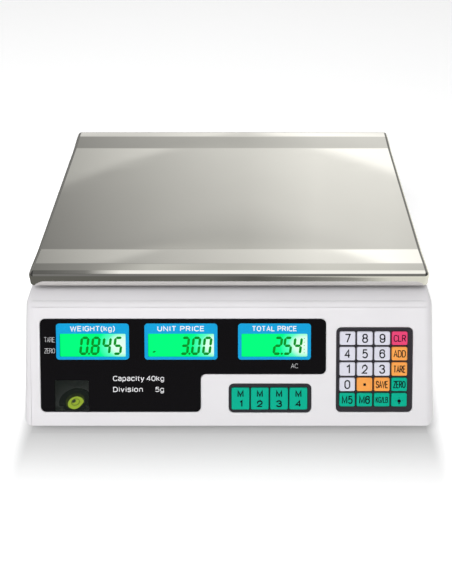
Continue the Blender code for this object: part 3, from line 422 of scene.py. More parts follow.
def make_tinted_glass():
    made = Finish("smoked_window", (0.014, 0.019, 0.016), 0.05, Alpha=0.5, Specular_IOR_Level=0.25)
    return made.gloss(9 * MM, 0.02).material


def make_circuit_board():
    """Green solder mask with traces."""
    mask, trace = (0.03, 0.22, 0.09), (0.10, 0.42, 0.18)
    made = Finish("circuit_board", mask, 0.35)
    run = (1, 0.25, 1)
    traces = made.noise(2.2 * MM, 0.0, run)
    made.feed("Base Color", ramp(made.tree, traces, [(0.49, mask), (0.5, trace), (0.56, mask)]))
    return made.grain(2.2 * MM, 0.03 * MM, 0.4, run, 0.0).material


HOUSING = finish(
    "housing_plastic", (0.83, 0.815, 0.835), 0.34, 0.0, (60, 0.012), (15, 0.05), (0.5, 0.02, 0.5)
)
BASE = finish("base_plastic", (0.56, 0.56, 0.57), 0.5, grain=(0.8, 0.04, 0.6))
STAINLESS = make_stainless()
ALUMINIUM = finish(
    "cast_aluminium", (0.60, 0.61, 0.63), 0.42, 1.0, (6, 0.06), (3, 0.08), (0.7, 0.06, 0.6)
)
STEEL = finish(
    "zinc_plated_steel", (0.66, 0.66, 0.64), 0.3, 1.0, (4, 0.06), (2, 0.07), (0.3, 0.01, 0.5)
)
RUBBER = finish(
    "black_rubber", (0.028, 0.028, 0.03), 0.72, 0.0, (5, 0.15), (4, 0.08), (0.5, 0.05, 0.7)
)
OVERLAY = make_overlay()
BLUE_INK = ink("blue_ink", (0.004, 0.36, 0.72))
WHITE_INK = ink("white_ink", (0.88, 0.88, 0.9))
BUBBLE = ink("bubble", (0.75, 0.95, 0.35), 0.1)
LEVEL_MARK = ink("level_mark", (0.05, 0.10, 0.01))
DARK_INK = ink("dark_ink", (0.003, 0.004, 0.010))
DIGIT_INK = ink("segment_green", (0.0, 0.29, 0.018), 0.3)
LCD_GLOW = make_lit_lcd()
LIQUID_PAINTED_GLOW = make_painted_glow_liquid()
SMOKED = make_tinted_glass()
FRAME_BLACK = finish("key_frame_plastic", (0.028, 0.025, 0.032), 0.42)
DARK_CUP = finish("level_cup_plastic", (0.004, 0.0045, 0.004), 0.5)
KEY_MATERIALS = {
    "key_white": finish("key_white", (0.74, 0.74, 0.83), 0.36),
    "key_green": finish("key_green", (0.0, 0.45, 0.29), 0.36, Specular_IOR_Level=0.2),
    "key_orange": finish("key_orange", (0.98, 0.39, 0.085), 0.36, Specular_IOR_Level=0.3),
    "key_pink": finish("key_pink", (0.85, 0.06, 0.19), 0.36, Specular_IOR_Level=0.3),
}
SWITCH_BLACK = finish("switch_black", (0.02, 0.02, 0.022), 0.32)
SWITCH_RED = finish("switch_red", (0.55, 0.012, 0.012), 0.22)
BATTERY_CASE = finish("battery_case", (0.05, 0.05, 0.056), 0.45)
CIRCUIT = make_circuit_board()
COPPER = finish("varnished_winding", (0.32, 0.20, 0.11), 0.4, grain=(1.0, 0.1, 0.6))


# ---------------------------------------------------------------- lettering

PRINT = 0.05 * MM  # thickness of printed ink
CAP_HEIGHT = 6  # grid units
GLYPH_GAP = 0.7  # clear space between letters
LINE_PITCH = 10.7


def loop(width, height, radius, left=0.0, low=0.0):
    """A closed rounded stroke, from the middle of its lower side round to the same point."""
    right, high, middle = left + width, low + height, (left + width / 2, low)
    corners = [(right, low, radius), (right, high, radius), (left, high, radius), (left, low, radius)]
    return [middle, *corners, middle]


# Each character's strokes on a grid of 6 units to a capital: points (x, y) and rounded corners (x, y, r)
GLYPHS = {
    " ": [[(0, 0), (0.7, 0)]],
    "0": [loop(4, 6, 1.95)],
    "1": [[(0.8, 4.6), (2.3, 6), (2.3, 0)]],
    "2": [[(0.1, 4.2), (0.1, 6, 1.9), (3.9, 6, 1.9), (3.9, 3.3, 1.5), (0, 0), (4, 0)]],
    "3": [
        [(0.1, 4.6), (0.1, 6, 1.4), (3.7, 6, 1.4), (3.7, 3.2, 1.35), (1.6, 3.2)],
        [(1.6, 3.2), (4, 3.2, 1.55), (4, 0, 1.55), (0, 0, 1.5), (0, 1.5)],
    ],
    "4": [[(3, 0), (3, 6), (0, 1.8), (4.1, 1.8)]],
    "5": [
        [(3.8, 6), (0.8, 6), (0.5, 3.3), (1.3, 3.95, 0.7), (4, 3.95, 1.9), (4, 0, 1.9), (1.5, 0, 1.1),
         (0, 0.9)]
    ],
    "6": [
        [(3.8, 4.7), (3.8, 6, 1.5), (0, 6, 1.9), (0, 0, 1.9), (4, 0, 1.8), (4, 3.7, 1.8), (0.1, 3.7, 1.5),
         (0.05, 2)]
    ],
    "7": [[(0, 6), (4, 6), (1.5, 0)]],
    "8": [loop(3.5, 2.8, 1.35, 0.25, 3.2), loop(4, 3.2, 1.55)],
    "9": [
        [(0.2, 1.3), (0.2, 0, 1.5), (4, 0, 1.9), (4, 6, 1.9), (0, 6, 1.8), (0, 2.3, 1.8), (3.9, 2.3, 1.5),
         (3.95, 4)]
    ],
    "A": [[(0, 0), (2.2, 6), (4.4, 0)], [(0.8, 2), (3.6, 2)]],
    "B": [
        [(0, 3.2), (0, 6), (3.7, 6, 1.35), (3.7, 3.2, 1.35), (0, 3.2)],
        [(0, 3.2), (0, 0), (4, 0, 1.55), (4, 3.2, 1.55), (2, 3.2)],
    ],
    "C": [[(4.1, 4.8), (4.1, 6, 1.1), (0, 6, 2), (0, 0, 2), (4.1, 0, 1.1), (4.1, 1.2)]],
    "D": [[(0, 3), (0, 0), (4.2, 0, 2.2), (4.2, 6, 2.2), (0, 6), (0, 3)]],
    "E": [[(3.8, 6), (0, 6), (0, 0), (3.9, 0)], [(0, 3.15), (3.5, 3.15)]],
    "G": [[(4.2, 4.8), (4.2, 6, 1.1), (0, 6, 2), (0, 0, 2), (4.4, 0, 1.6), (4.4, 2.7), (2.6, 2.7)]],
    "H": [[(0, 0), (0, 6)], [(4.2, 0), (4.2, 6)], [(0, 3.15), (4.2, 3.15)]],
    "I": [[(0.4, 0), (0.4, 6)]],
    "K": [[(0, 0), (0, 6)], [(4, 6), (0, 2)], [(1.5, 3.5), (4.3, 0)]],
    "L": [[(0, 6), (0, 0), (3.6, 0)]],
    "M": [[(0, 0), (0, 6), (2.4, 0.8), (4.8, 6), (4.8, 0)]],
    "N": [[(0, 0), (0, 6), (4.2, 0), (4.2, 6)]],
    "O": [loop(4.6, 6, 2.2)],
    "P": [[(0, 0), (0, 6), (4, 6, 1.6), (4, 2.8, 1.6), (0, 2.8)]],
    "R": [[(0, 0), (0, 6), (4, 6, 1.5), (4, 3, 1.5), (0, 3)], [(2.2, 3), (4.2, 0)]],
    "S": [
        [(4, 4.6), (4, 6, 1.4), (0.1, 6, 1.4), (0.1, 3.2, 1.35), (4.1, 3.2, 1.4), (4.1, 0, 1.5),
         (0, 0, 1.5), (0, 1.5)]
    ],
    "T": [[(0, 6), (4.2, 6)], [(2.1, 6), (2.1, 0)]],
    "U": [[(0, 6), (0, 0, 2), (4.2, 0, 2), (4.2, 6)]],
    "V": [[(0, 6), (2.2, 0), (4.4, 6)]],
    "W": [[(0, 6), (1.6, 0), (3.2, 5.6), (4.8, 0), (6.4, 6)]],
    "Z": [[(0, 6), (4, 6), (0, 0), (4.1, 0)]],
    "(": [[(1.4, 6.5), (0.1, 4.4, 2), (0.1, 0.8, 2), (1.4, -1.4)]],
    ")": [[(0, 6.5), (1.3, 4.4, 2), (1.3, 0.8, 2), (0, -1.4)]],
    "/": [[(0, -0.3), (2.4, 6.3)]],
    "a": [
        [(0.25, 3.85), (0.25, 4.7, 0.8), (3.4, 4.7, 1.4), (3.4, 0)],
        [(3.4, 2.6), (0, 2.3, 1.1), (0, 0, 1.1), (2.3, 0, 0.9), (3.4, 1.1)],
    ],
    "c": [[(3.4, 3.6), (3.4, 4.7, 1.05), (0, 4.7, 1.65), (0, 0, 1.65), (3.4, 0, 1.05), (3.4, 1.1)]],
    "g": [loop(3.4, 4.7, 1.65), [(3.4, 4.7), (3.4, -1.8, 1.4), (0.2, -1.8, 0.9), (0.2, -1)]],
    "i": [[(0.3, 0), (0.3, 4.6)], [(0.3, 5.5), (0.3, 6.3)]],
    "k": [[(0, 0), (0, 6)], [(3, 4.6), (0, 1.6)], [(1.2, 2.8), (3.3, 0)]],
    "n": [[(0, 0), (0, 4.6)], [(0, 2.8), (0, 4.6, 1.5), (3.3, 4.6, 1.5), (3.3, 0)]],
    "o": [loop(3.6, 4.7, 1.75)],
    "p": [[(0, 4.7), (0, -1.8)], loop(3.4, 4.7, 1.65)],
    "s": [
        [(3.1, 3.85), (3.1, 4.7, 0.8), (0.1, 4.7, 1.1), (0.1, 2.5, 1.0), (3.3, 2.3, 1.0), (3.3, 0, 1.1),
         (0, 0, 0.8), (0, 0.85)]
    ],
    "t": [[(0.9, 5.8), (0.9, 0, 0.9), (2.1, 0)], [(0, 4.5), (2.1, 4.5)]],
    "v": [[(0, 4.6), (1.7, 0), (3.4, 4.6)]],
    "y": [[(0, 4.6), (1.7, 0)], [(3.4, 4.6), (1.3, -1.8, 0.7), (0.2, -1.8)]],
}


def rounded_path(points, steps=5):
    """A polyline whose corners with a third value are rounded by that radius."""
    path = []
    for i, (x, y, *rounding) in enumerate(points):
        here = Vector((x, y))
        if not rounding:
            path.append(here)
            continue
        before = (Vector(points[i - 1][:2]) - here).normalized()
        after = (Vector(points[i + 1][:2]) - here).normalized()
        radius, half_angle = rounding[0], before.angle(after) / 2
        start, end = (here + side * radius / math.tan(half_angle) for side in (before, after))
        centre = here + (before + after).normalized() * radius / math.sin(half_angle)
        sweep = (start - centre).angle_signed(end - centre)
        for step in range(steps + 1):
            path.append(centre + Matrix.Rotation(-sweep * step / steps, 2) @ (start - centre))
    return path


def stroke(path, thickness, low, high):
    """A flat bar of ink that follows a path, with mitred corners and square ends."""
    rows = []
    for i, here in enumerate(path):
        into = (here - path[i - 1]).normalized() if i else None
        out = (path[i + 1] - here).normalized() if i + 1 < len(path) else None
        into, out = into or out, out or into
        across = Vector((-into.y - out.y, into.x + out.x)).normalized()
        share = max(across.dot(Vector((-into.y, into.x))), 0.45)
        offset = across * (thickness / 2 / share)
        left, right = here - offset, here + offset
        rows.append([(*left, low), (*right, low), (*right, high), (*left, high)])
    return skinned(rows)


def glyph_width(character):
    return max(point[0] for stroke_points in GLYPHS[character] for point in stroke_points)


def add_text(name, words, at, height, width, ink, body, wall=WORLD, weight=0.13):
    """Lettering centred at (x, y) of a wall, lying on z, with lines of capitals height tall.

    The letters are widened or narrowed to fill the width, within reason.
    """
    unit = height / CAP_HEIGHT
    thickness = weight * height
    room = width - thickness
    gap = GLYPH_GAP + weight * CAP_HEIGHT
    lines = words.split("\n")
    strokes = []
    for row, line in enumerate(lines):
        solid = sum(glyph_width(c) for c in line)
        gaps = len(line) - 1
        squeeze = min(1.25 * unit, room / (solid + gap * gaps))
        space = min((room - solid * squeeze) / gaps, gap * 1.4 * unit) if gaps else 0
        x = at[0] - (solid * squeeze + space * gaps) / 2
        y = at[1] + ((len(lines) - 1) / 2 - row) * LINE_PITCH * unit - height / 2
        for character in line:
            for points in GLYPHS[character] if character != " " else ():
                path = [Vector((x + p.x * squeeze, y + p.y * unit)) for p in rounded_path(points)]
                strokes.append(stroke(path, thickness, at[2], at[2] + PRINT))
            x += glyph_width(character) * squeeze + space
    obj = make_object(name, merge(*strokes), wall)
    obj.data.materials.append(ink)
    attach(obj, body)


# Bars of a digit: (start, end) on a grid of half heights and widths
SEGMENTS = {
    "a": ((0, 2), (1, 2)),
    "b": ((1, 1), (1, 2)),
    "c": ((1, 0), (1, 1)),
    "d": ((0, 0), (1, 0)),
    "e": ((0, 0), (0, 1)),
    "f": ((0, 1), (0, 2)),
    "g": ((0, 1), (1, 1)),
}
LIT = {"0": "abcdef", "2": "abged", "3": "abgcd", "4": "fgbc", "5": "afgcd", "8": "abcdefg"}
SLANT = math.tan(math.radians(7))


def segment_bar(start, end, thickness, low, high):
    """One bar of a digit, with pointed ends, between two points."""
    start, end = Vector(start), Vector(end)
    along = (end - start).normalized()
    across = Vector((-along.y, along.x)) * (thickness / 2)
    start, end = start + along * thickness * 0.05, end - along * thickness * 0.05
    nib = along * (thickness / 2)
    ring = [start, start + nib - across, end - nib - across, end, end - nib + across, start + nib + across]
    return skinned([[(*p, z) for p in ring] for z in (low, high)])


def digit_bars(number, right, bottom, height, spread, low, high):
    """Slanted seven-segment digits, right aligned, with a point where the number has one.

    Neighbouring digits are spread times their height apart.
    """
    bars = []
    width, pitch, bar = height * 0.40, height * spread, height * 0.165
    place = right - width - SLANT * height
    for character in reversed(number):
        if character == ".":
            middle = place + (pitch + width) / 2
            ends = (middle - bar * 0.6, bottom), (middle + bar * 0.6, bottom)
            bars.append(segment_bar(*ends, bar, low, high))
            continue
        for name in LIT[character]:
            ends = [(place + x * width, bottom + y * height / 2) for x, y in SEGMENTS[name]]
            bars.append(segment_bar(*ends, bar, low, high))
        place -= pitch
    digits = merge(*bars)
    for vert in digits.verts:
        vert.co.x += (vert.co.y - bottom) * SLANT
    return digits


# ---------------------------------------------------------------- housing

WALL = 2.5 * MM
CORNER_RADIUS = 9 * MM
LEDGE_RADIUS = 4 * MM
WINDOW_RADIUS = 4.5 * MM
FRAME_RADIUS = 4 * MM
FRAME_LIP = 2 * MM
KEY_LIP = 0.5 * MM
POCKET_MARGIN = 2 * MM
MOUTH = 0.3 * MM  # chamfer round the mouth of each opening

LCD_NODES = ("front_lcd_weight", "front_lcd_unit_price", "front_lcd_total_price")
LCD_FRAME = (61 * MM, 30.4 * MM)
LCD_VIEW = (55.2 * MM, 19.3 * MM)
LCD_DROP = Vector((0, 3.1 * MM))  # the viewing area sits below the middle of its frame
LCD_OPENING = (56 * MM, 20 * MM)
REAR_LCD_PITCH = 76 * MM
WINDOW_BLOCK_RIGHT = -23.5 * MM
WINDOW_STEP = 43.5 * MM
LEVEL_VIEW_SIZE = (28.6 * MM, 26 * MM)
SHELF_TOP_Z = BASE_Z + 10 * MM  # the shelf round the bubble level

KEY_NODES = [name for name in frame["nodes"] if name.startswith("key_") and name != "key_board"]
MEMORY_KEYS = [f"key_memory_{i}" for i in range(1, 5)]
NUMERIC_KEYS = [name for name in KEY_NODES if name not in MEMORY_KEYS]

front_low, front_high = local_box("front_window", FRONT)
rear_low, rear_high = local_box("rear_window", REAR)
front_views = [sum(local_box(node, FRONT), Vector((0, 0, 0))).xy / 2 - LCD_DROP for node in LCD_NODES]
rear_views = [(rear_low + rear_high).xy / 2 + Vector((step * REAR_LCD_PITCH, 0)) for step in (-1, 0, 1)]
LEVEL_VIEW = front_low.xy + Vector((26.1 * MM, 13.7 * MM))


def window_corners(grow):
    """The L-shaped front window, anticlockwise, grown by a clearance."""
    left, bottom = front_low.x - grow, front_low.y - grow
    right, top = front_high.x + grow, front_high.y + grow
    block_right = WINDOW_BLOCK_RIGHT - GAP + grow
    step = WINDOW_STEP + GAP - grow
    lower = [(left, bottom), (block_right, bottom), (block_right, step)]
    return [*lower, (right, step), (right, top), (left, top)]


def mouth_cutter(corners, radius, depth=12 * MM, mouth=MOUTH):
    """A cutter for an opening whose mouth is chamfered where it meets the wall's face."""
    return lofted(corners, radius, [(0, -depth), (0, -mouth), (2 * mouth, mouth), (2 * mouth, 4 * MM)])


def housing_block(low_z, high_z):
    """A block with the housing's four leaning walls and finely rounded edges."""
    bm = bmesh.new()
    bmesh.ops.create_cube(bm, size=2)
    for vert in bm.verts:
        z = high_z if vert.co.z > 0 else low_z
        half_width = HALF_WIDTH - (z - BASE_Z) * math.tan(SIDE_TILT)
        front = FRONT_Y + (z - BASE_Z) * math.tan(FRONT_TILT)
        rear = REAR_Y - (z - BASE_Z) * math.tan(REAR_TILT)
        vert.co = (math.copysign(half_width, vert.co.x), rear if vert.co.y > 0 else front, z)
    upright = [e for e in bm.edges if abs((e.verts[0].co - e.verts[1].co).normalized().z) > 0.6]
    bmesh.ops.bevel(bm, geom=upright, offset=CORNER_RADIUS, segments=10, profile=0.5, affect="EDGES")
    top = list(max(bm.faces, key=lambda f: f.calc_center_median().z).edges)
    bmesh.ops.bevel(bm, geom=top, offset=LEDGE_RADIUS, segments=6, profile=0.5, affect="EDGES")
    return bm


def side_pocket(node, inset_u, inset_v):
    """The boss, the pocket and the hole in it for a side fitting, whose body is inset from its bezel."""
    low, high = local_box(node, SIDE)
    inset = Vector((inset_u - GAP, inset_v - GAP, 0))
    margin = POCKET_MARGIN
    pocket = [(margin - 0.4 * MM, 0), (margin, 0.4 * MM), (margin + 0.3 * MM, 8 * MM)]
    boss = lofted(box_rect(low, high), 1 * MM, [(margin + WALL, -WALL), (margin + WALL, 2 * MM)])
    return [
        ("UNION", boss, SIDE),
        cut(lofted(box_rect(low, high), 1 * MM, pocket), SIDE),
        cut(prism(box_rect(low + inset, high - inset), 0.3 * MM, -6 * MM, 3 * MM, 2), SIDE),
    ]


def edge_grooves():
    """Fine grooves either side of the rounded front edge of the ledge, and down the face's left side."""
    half, top = HALF_WIDTH - 7.4 * MM, RISE / math.cos(FRONT_TILT)
    low, high = top - 1.7 * MM, top - 1.1 * MM
    behind = FRONT_Y + RISE * math.tan(FRONT_TILT) + 5.4 * MM
    end = half - 1.1 * MM
    return [
        cut(box_mesh((-end, low, -1.5 * MM), (end, high, 3 * MM)), FRONT),
        cut(box_mesh((-end, behind, LEDGE_Z - 0.8 * MM), (end, behind + 0.5 * MM, LEDGE_Z + 1 * MM))),
        cut(box_mesh((-half, -9 * MM, -0.9 * MM), (0.5 * MM - half, low - 1 * MM, 3 * MM)), FRONT),
    ]


def make_housing():
    bm = housing_block(BASE_Z - 6 * MM, LEDGE_Z)
    bottom = min(bm.faces, key=lambda f: f.calc_center_median().z)
    bmesh.ops.delete(bm, geom=[bottom], context="FACES_ONLY")
    bmesh.ops.recalc_face_normals(bm, faces=bm.faces)
    shell = make_object("housing_shell", bm)
    wall = shell.modifiers.new("wall", "SOLIDIFY")
    wall.thickness = WALL
    wall.offset = -1
    wall.use_even_offset = True

    post_low, post_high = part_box("pan_support")
    hub = (50 * MM, (post_low.y + post_high.y) / 2)
    collar = slab(
        rect(*hub, 54 * MM, 50 * MM), 4 * MM, LEDGE_Z - 1 * MM, LEDGE_Z + COLLAR_RISE, 0.8 * MM
    )
    recess = GAP - front_low.z
    level = prism(rect(*LEVEL_VIEW, 30 * MM, 26 * MM), 1 * MM, -8 * MM, 3 * MM)
    frames = (
        box_rect(*local_box(node, FRONT), GAP - FRAME_LIP) for node in ("keypad_frame", "memory_key_frame")
    )
    operations = [
        cut(box_mesh((-0.3, -0.3, -0.1), (0.3, 0.3, BASE_Z))),
        ("UNION", collar, WORLD),
        cut(prism(rect(*hub, 46 * MM, 42 * MM), 3 * MM, 70 * MM, 95 * MM)),
        cut(mouth_cutter(window_corners(GAP), WINDOW_RADIUS, recess), FRONT),
        cut(level, FRONT),
        *(cut(mouth_cutter(corners, FRAME_RADIUS + GAP), FRONT) for corners in frames),
        cut(mouth_cutter(box_rect(rear_low, rear_high, GAP), WINDOW_RADIUS, recess), REAR),
        *side_pocket("power_switch_body", 1.55 * MM, 1.45 * MM),
        *side_pocket("power_inlet", 2.5 * MM, 2 * MM),
    ]
    for side, views in ((FRONT, front_views), (REAR, rear_views)):
        for view in views:
            operations.append(cut(prism(rect(*view, *LCD_OPENING), 0.5 * MM, -9 * MM, 2 * MM), side))
    combined(shell, operations)
    combined(shell, edge_grooves())
    dress(shell, HOUSING, "housing", ["top_shell"], 24)


# ---------------------------------------------------------------- display windows

# number, label, its width, margin right of the digits, distance of the lamp beyond the glass
DISPLAYS = (
    ("0.845", "WEIGHT(kg)", 37.4 * MM, 3.2 * MM, -3 * MM),
    ("3.00", "UNIT PRICE", 40.4 * MM, 2.2 * MM, 2 * MM),
    ("2.54", "TOTAL PRICE", 37.6 * MM, 4.6 * MM, -2.5 * MM),
)
# name, words, (u, v) of the middle, capital height, width, weight
PANEL_WORDS = (
    ("tare_lamp", "TARE", (-150.3, 72.7), 3.9, 8.8, 0.055),
    ("zero_lamp", "ZERO", (-150.3, 63.4), 3.9, 8.8, 0.055),
    ("mains_lamp", "AC", (54.9, 50.7), 3.5, 5.8, 0.065),
    ("capacity", "Capacity", (-84.3, 40.1), 3.7, 26.2, 0.17),
    ("capacity_value", "40kg", (-61.9, 40.1), 3.7, 14.6, 0.16),
    ("division", "Division", (-84.9, 30.8), 3.7, 25.0, 0.17),
    ("division_value", "5g", (-58.4, 30.8), 3.7, 7.4, 0.15),
)


def make_overlay_sheet(name, corners, low, high, holes, wall, node):
    sheet = make_object(name, slab(corners, WINDOW_RADIUS - GAP, low, high, 0.2 * MM), wall)
    combined(sheet, [cut(prism(hole, 0.8 * MM, low - 2 * MM, high + 2 * MM), wall) for hole in holes])
    dress(sheet, OVERLAY, "housing", [node])


def make_lcd(name, view, display, wall, face, glass_low, glass_high):
    """One display: printed blue frame and label, lit glass and dark digits.

    The digits end a margin from the glass's right edge, where the lamp's glow is.
    """
    number, label, label_width, margin, glow = display
    centre = view + LCD_DROP
    printed = prism(rect(*centre, *LCD_FRAME), 2.6 * MM, face, face + PRINT)
    hole = prism(rect(*view, *LCD_VIEW), 0.8 * MM, face - 1 * MM, face + 1 * MM)
    blue = combined(make_object(name + "_frame", printed, wall), [cut(hole, wall)])
    dress(blue, BLUE_INK, "housing")

    half = LCD_VIEW[0] / 2
    lamp = wall @ Matrix.Translation((view.x + half + glow, view.y, 0))
    corners = rect(-half - glow, 0, LCD_VIEW[0] + 0.6 * MM, LCD_VIEW[1] + 0.6 * MM)
    glass = slab(corners, 0.8 * MM, glass_low, glass_high, 0.1 * MM)
    add_piece(name + "_glass", glass, LCD_GLOW, "housing", lamp)

    height = 13.4 * MM
    right, bottom = view.x + half - margin, view.y - height / 2 - 0.6 * MM
    low, high = glass_high + 0.01 * MM, glass_high + PRINT
    spread = 0.62 if number == "2.54" else 0.70
    digits = [digit_bars(number, right, bottom, height, spread, low, high)]
    if number == "3.00":  # a short bar low on the left
        mark = Vector((view.x - half + 3.4 * MM, bottom + 1.2 * MM))
        digits.append(segment_bar(mark, mark + Vector((3 * MM, 0.9 * MM)), 1.3 * MM, low, high))
    if number == "2.54":  # small marks up the right side
        for step in range(5):
            mark = Vector((right + 1.4 * MM, bottom + (0.8 + 3 * step) * MM))
            digits.append(segment_bar(mark, mark + Vector((1.2 * MM, 0)), 0.6 * MM, low, high))
    add_piece(name + "_digits", merge(*digits), DIGIT_INK, "housing", wall)
    add_text(
        name + "_label", label, (centre.x, centre.y + 10.9 * MM, face + PRINT), 3.7 * MM, label_width,
        WHITE_INK, "housing", wall, 0.21,
    )


def make_displays(side, wall, views, names, corners, extra_holes, behind):
    """A window's black sheet, with its three displays in front of the node behind them."""
    low, high = (corner.z for corner in local_box(side + "_window", wall))
    holes = [*(rect(*view, *LCD_VIEW) for view in views), *extra_holes]
    make_overlay_sheet(side + "_overlay", corners, low, high, holes, wall, side + "_window")
    glass_low = local_box(behind, wall)[1].z + 0.05 * MM
    for name, view, display in zip(names, views, DISPLAYS):
        make_lcd(name, view, display, wall, high, glass_low, low - 0.05 * MM)


def make_panel_words():
    for name, words, (u, v), height, width, weight in PANEL_WORDS:
        add_text(
            name + "_label", words, (u * MM, v * MM, front_high.z), height * MM, width * MM, WHITE_INK,
            "housing", FRONT, weight,
        )


def make_level():
    """Bubble level: a round vial of yellow-green liquid with a painted glow, in a dark well, seen through a smoked
    pane.
    """
    place, low, high = seat("level_vial")
    place = place @ Matrix.Translation((0, 0, low.z))
    radius, height = (high.x - low.x) / 2, high.z - low.z
    liquid = turned(
        [(0, 0), (radius - 0.3 * MM, 0), (radius, 0.3 * MM)]
        + fillet(height - 0.5 * MM, 1.2 * MM, radius, 5)
        + [(radius * 0.5, height - 0.3 * MM), (0, height - 0.2 * MM)]
    )
    # The liquid's material carries a painted glow.
    add_piece("level_liquid_painted_glow", liquid, LIQUID_PAINTED_GLOW, "housing", place, ["level_vial"])
    bubble = turned(
        [(0, 0), (1.9 * MM, 0.1 * MM), (2.1 * MM, 0.4 * MM), (1.4 * MM, 0.7 * MM), (0, 0.8 * MM)], 32
    )
    shifted(bubble, (-1.6 * MM, 0.9 * MM, height - 0.8 * MM))
    add_piece("level_bubble", bubble, BUBBLE, "housing", place)
    mark = turned_ring(3.1 * MM, 3.5 * MM, height - 0.6 * MM, height - 0.1 * MM)
    add_piece("level_ring", mark, LEVEL_MARK, "housing", place)

    shelf = SHELF_TOP_Z - low.z
    section = [
        (radius + 0.3 * MM, 0.5 * MM),
        (10.6 * MM, 0.5 * MM),
        (10.6 * MM, shelf + 0.05 * MM),
        (13.4 * MM, shelf + 0.05 * MM),
        (13.4 * MM, shelf + 0.6 * MM),
        (13.1 * MM, shelf + 0.9 * MM),
        (radius + 1.1 * MM, shelf + 0.9 * MM),
        (radius + 0.3 * MM, height - 0.6 * MM),
    ]
    cup = make_object("level_cup", turned(section, ring=True), place)
    combined(cup, [cut(box_mesh((-0.3, -0.3, -WALL - 0.3 * MM), (0.3, 0.3, 0.1)), FRONT)])
    dress(cup, DARK_CUP, "housing")
    corners = rect(*LEVEL_VIEW, *(side - GAP for side in LEVEL_VIEW_SIZE))
    pane = slab(corners, 0.7 * MM, front_low.z, front_high.z - 0.1 * MM, 0.1 * MM)
    add_piece("level_pane", pane, SMOKED, "housing", FRONT)


# ---------------------------------------------------------------- keys

# key: its words, and the height of their capitals in millimetres
LEGENDS = {
    "key_clear": ("CLR", 5.0),
    "key_add": ("ADD", 5.4),
    "key_tare": ("TARE", 5.4),
    "key_save": ("SAVE", 5.4),
    "key_zero": ("ZERO", 5.4),
    "key_memory_5": ("M5", 5.9),
    "key_memory_6": ("M6", 5.9),
    "key_unit": ("KG/LB", 4.5),
}
KEY_SLOTS = {entry["node"]: entry["material_slot"] for entry in frame["record"]["subparts"]}


def legend(name, key_width):
    """A key's words, the height of their capitals, their width and their weight."""
    if name in MEMORY_KEYS:
        return "M\n" + name[-1], 4.7 * MM, 5.2 * MM, 0.24
    if name not in LEGENDS:
        return name[-1], 6.6 * MM, 5.0 * MM, 0.165
    words, height = LEGENDS[name]
    margin, weight = (3.8, 0.18) if name.startswith("key_memory") else (2.6, 0.145)
    return words, height * MM, key_width - margin * MM, weight


def lamp_symbol(top):
    """A small bulb: a round head over a narrow base, with three rays."""
    head = turned([(0, 0), (1.5 * MM, 0), (1.5 * MM, PRINT), (0, PRINT)], 24)
    bars = [
        box_mesh((x0 * MM, y0 * MM, 0), (x1 * MM, y1 * MM, PRINT))
        for x0, y0, x1, y1 in (
            (-0.6, -2.6, 0.6, -1.75), (-0.15, 2.2, 0.15, 3.2), (-3.2, 0.1, -2.2, 0.4), (2.2, 0.1, 3.2, 0.4)
        )
    ]
    return shifted(merge(head, *bars), (0, -1 * MM, top))


def make_key(name):
    wall, low, high = seat(name, FRONT)
    width, height = (side - 2 * KEY_LIP for side in (high - low).xy)
    top = high.z
    flange_low, flange_high = -5.1 * MM, -4.3 * MM
    profile = [(KEY_LIP, flange_low), (KEY_LIP, flange_high), (0.05 * MM, flange_high)]
    cap = lofted(rect(0, 0, width, height), 1.3 * MM, profile + fillet(top, 0.65 * MM, 0, 5), 5)
    stem = prism(rect(0, 0, 4 * MM, 4 * MM), 0.4 * MM, low.z, flange_low + 0.1 * MM, 2)
    slot = KEY_SLOTS[name]
    add_piece(name + "_cap", merge(cap, stem), KEY_MATERIALS[slot], name, wall, [name])

    if name == "key_point":
        dot = prism(rect(0, 0, 2.2 * MM, 2.2 * MM), 0.4 * MM, top, top + PRINT, 2)
        add_piece(name + "_legend", dot, DARK_INK, name, wall)
    elif name == "key_light":
        add_piece(name + "_legend", lamp_symbol(top), DARK_INK, name, wall)
    else:
        words, tall, wide, weight = legend(name, width)
        add_text(name + "_legend", words, (0, 0, top), tall, wide, DARK_INK, name, wall, weight)


def make_key_frame(node, keys):
    low, high = local_box(node, FRONT)
    lip_top = -WALL - GAP
    profile = [(0, low.z), (0, lip_top), (-FRAME_LIP, lip_top), *fillet(high.z, 0.5 * MM, -FRAME_LIP)]
    moulding = lofted(box_rect(low, high), FRAME_RADIUS + FRAME_LIP, profile, 8)
    plate = make_object(node + "_moulding", moulding, FRONT)
    holes = []
    for name in keys:
        corners = box_rect(*local_box(name, FRONT), GAP - KEY_LIP)
        holes.append(cut(shifted(mouth_cutter(corners, 1.5 * MM, 8 * MM, 0.2 * MM), (0, 0, high.z)), FRONT))
    combined(plate, holes)
    dress(plate, FRAME_BLACK, "housing", [node])


# ---------------------------------------------------------------- weighing parts

CORNERS = ("front_left", "front_right", "rear_left", "rear_right")
PAN_SHEET = 0.8 * MM
PAN_EDGE = 5 * MM
PAN_CORNER = 5 * MM
PAN_LEAN = 0.5 * MM  # the rim leans in by this much at the top
PAN_BORDER = 13.5 * MM
PAN_SLOPE = 20.5 * MM
PAN_BEND = 0.8 * MM  # half the width of each crease's bend


def past(distance):
    """How far past a crease a point is, with the crease rounded."""
    if distance <= -PAN_BEND:
        return 0.0
    if distance >= PAN_BEND:
        return distance
    return (distance + PAN_BEND) ** 2 / (4 * PAN_BEND)


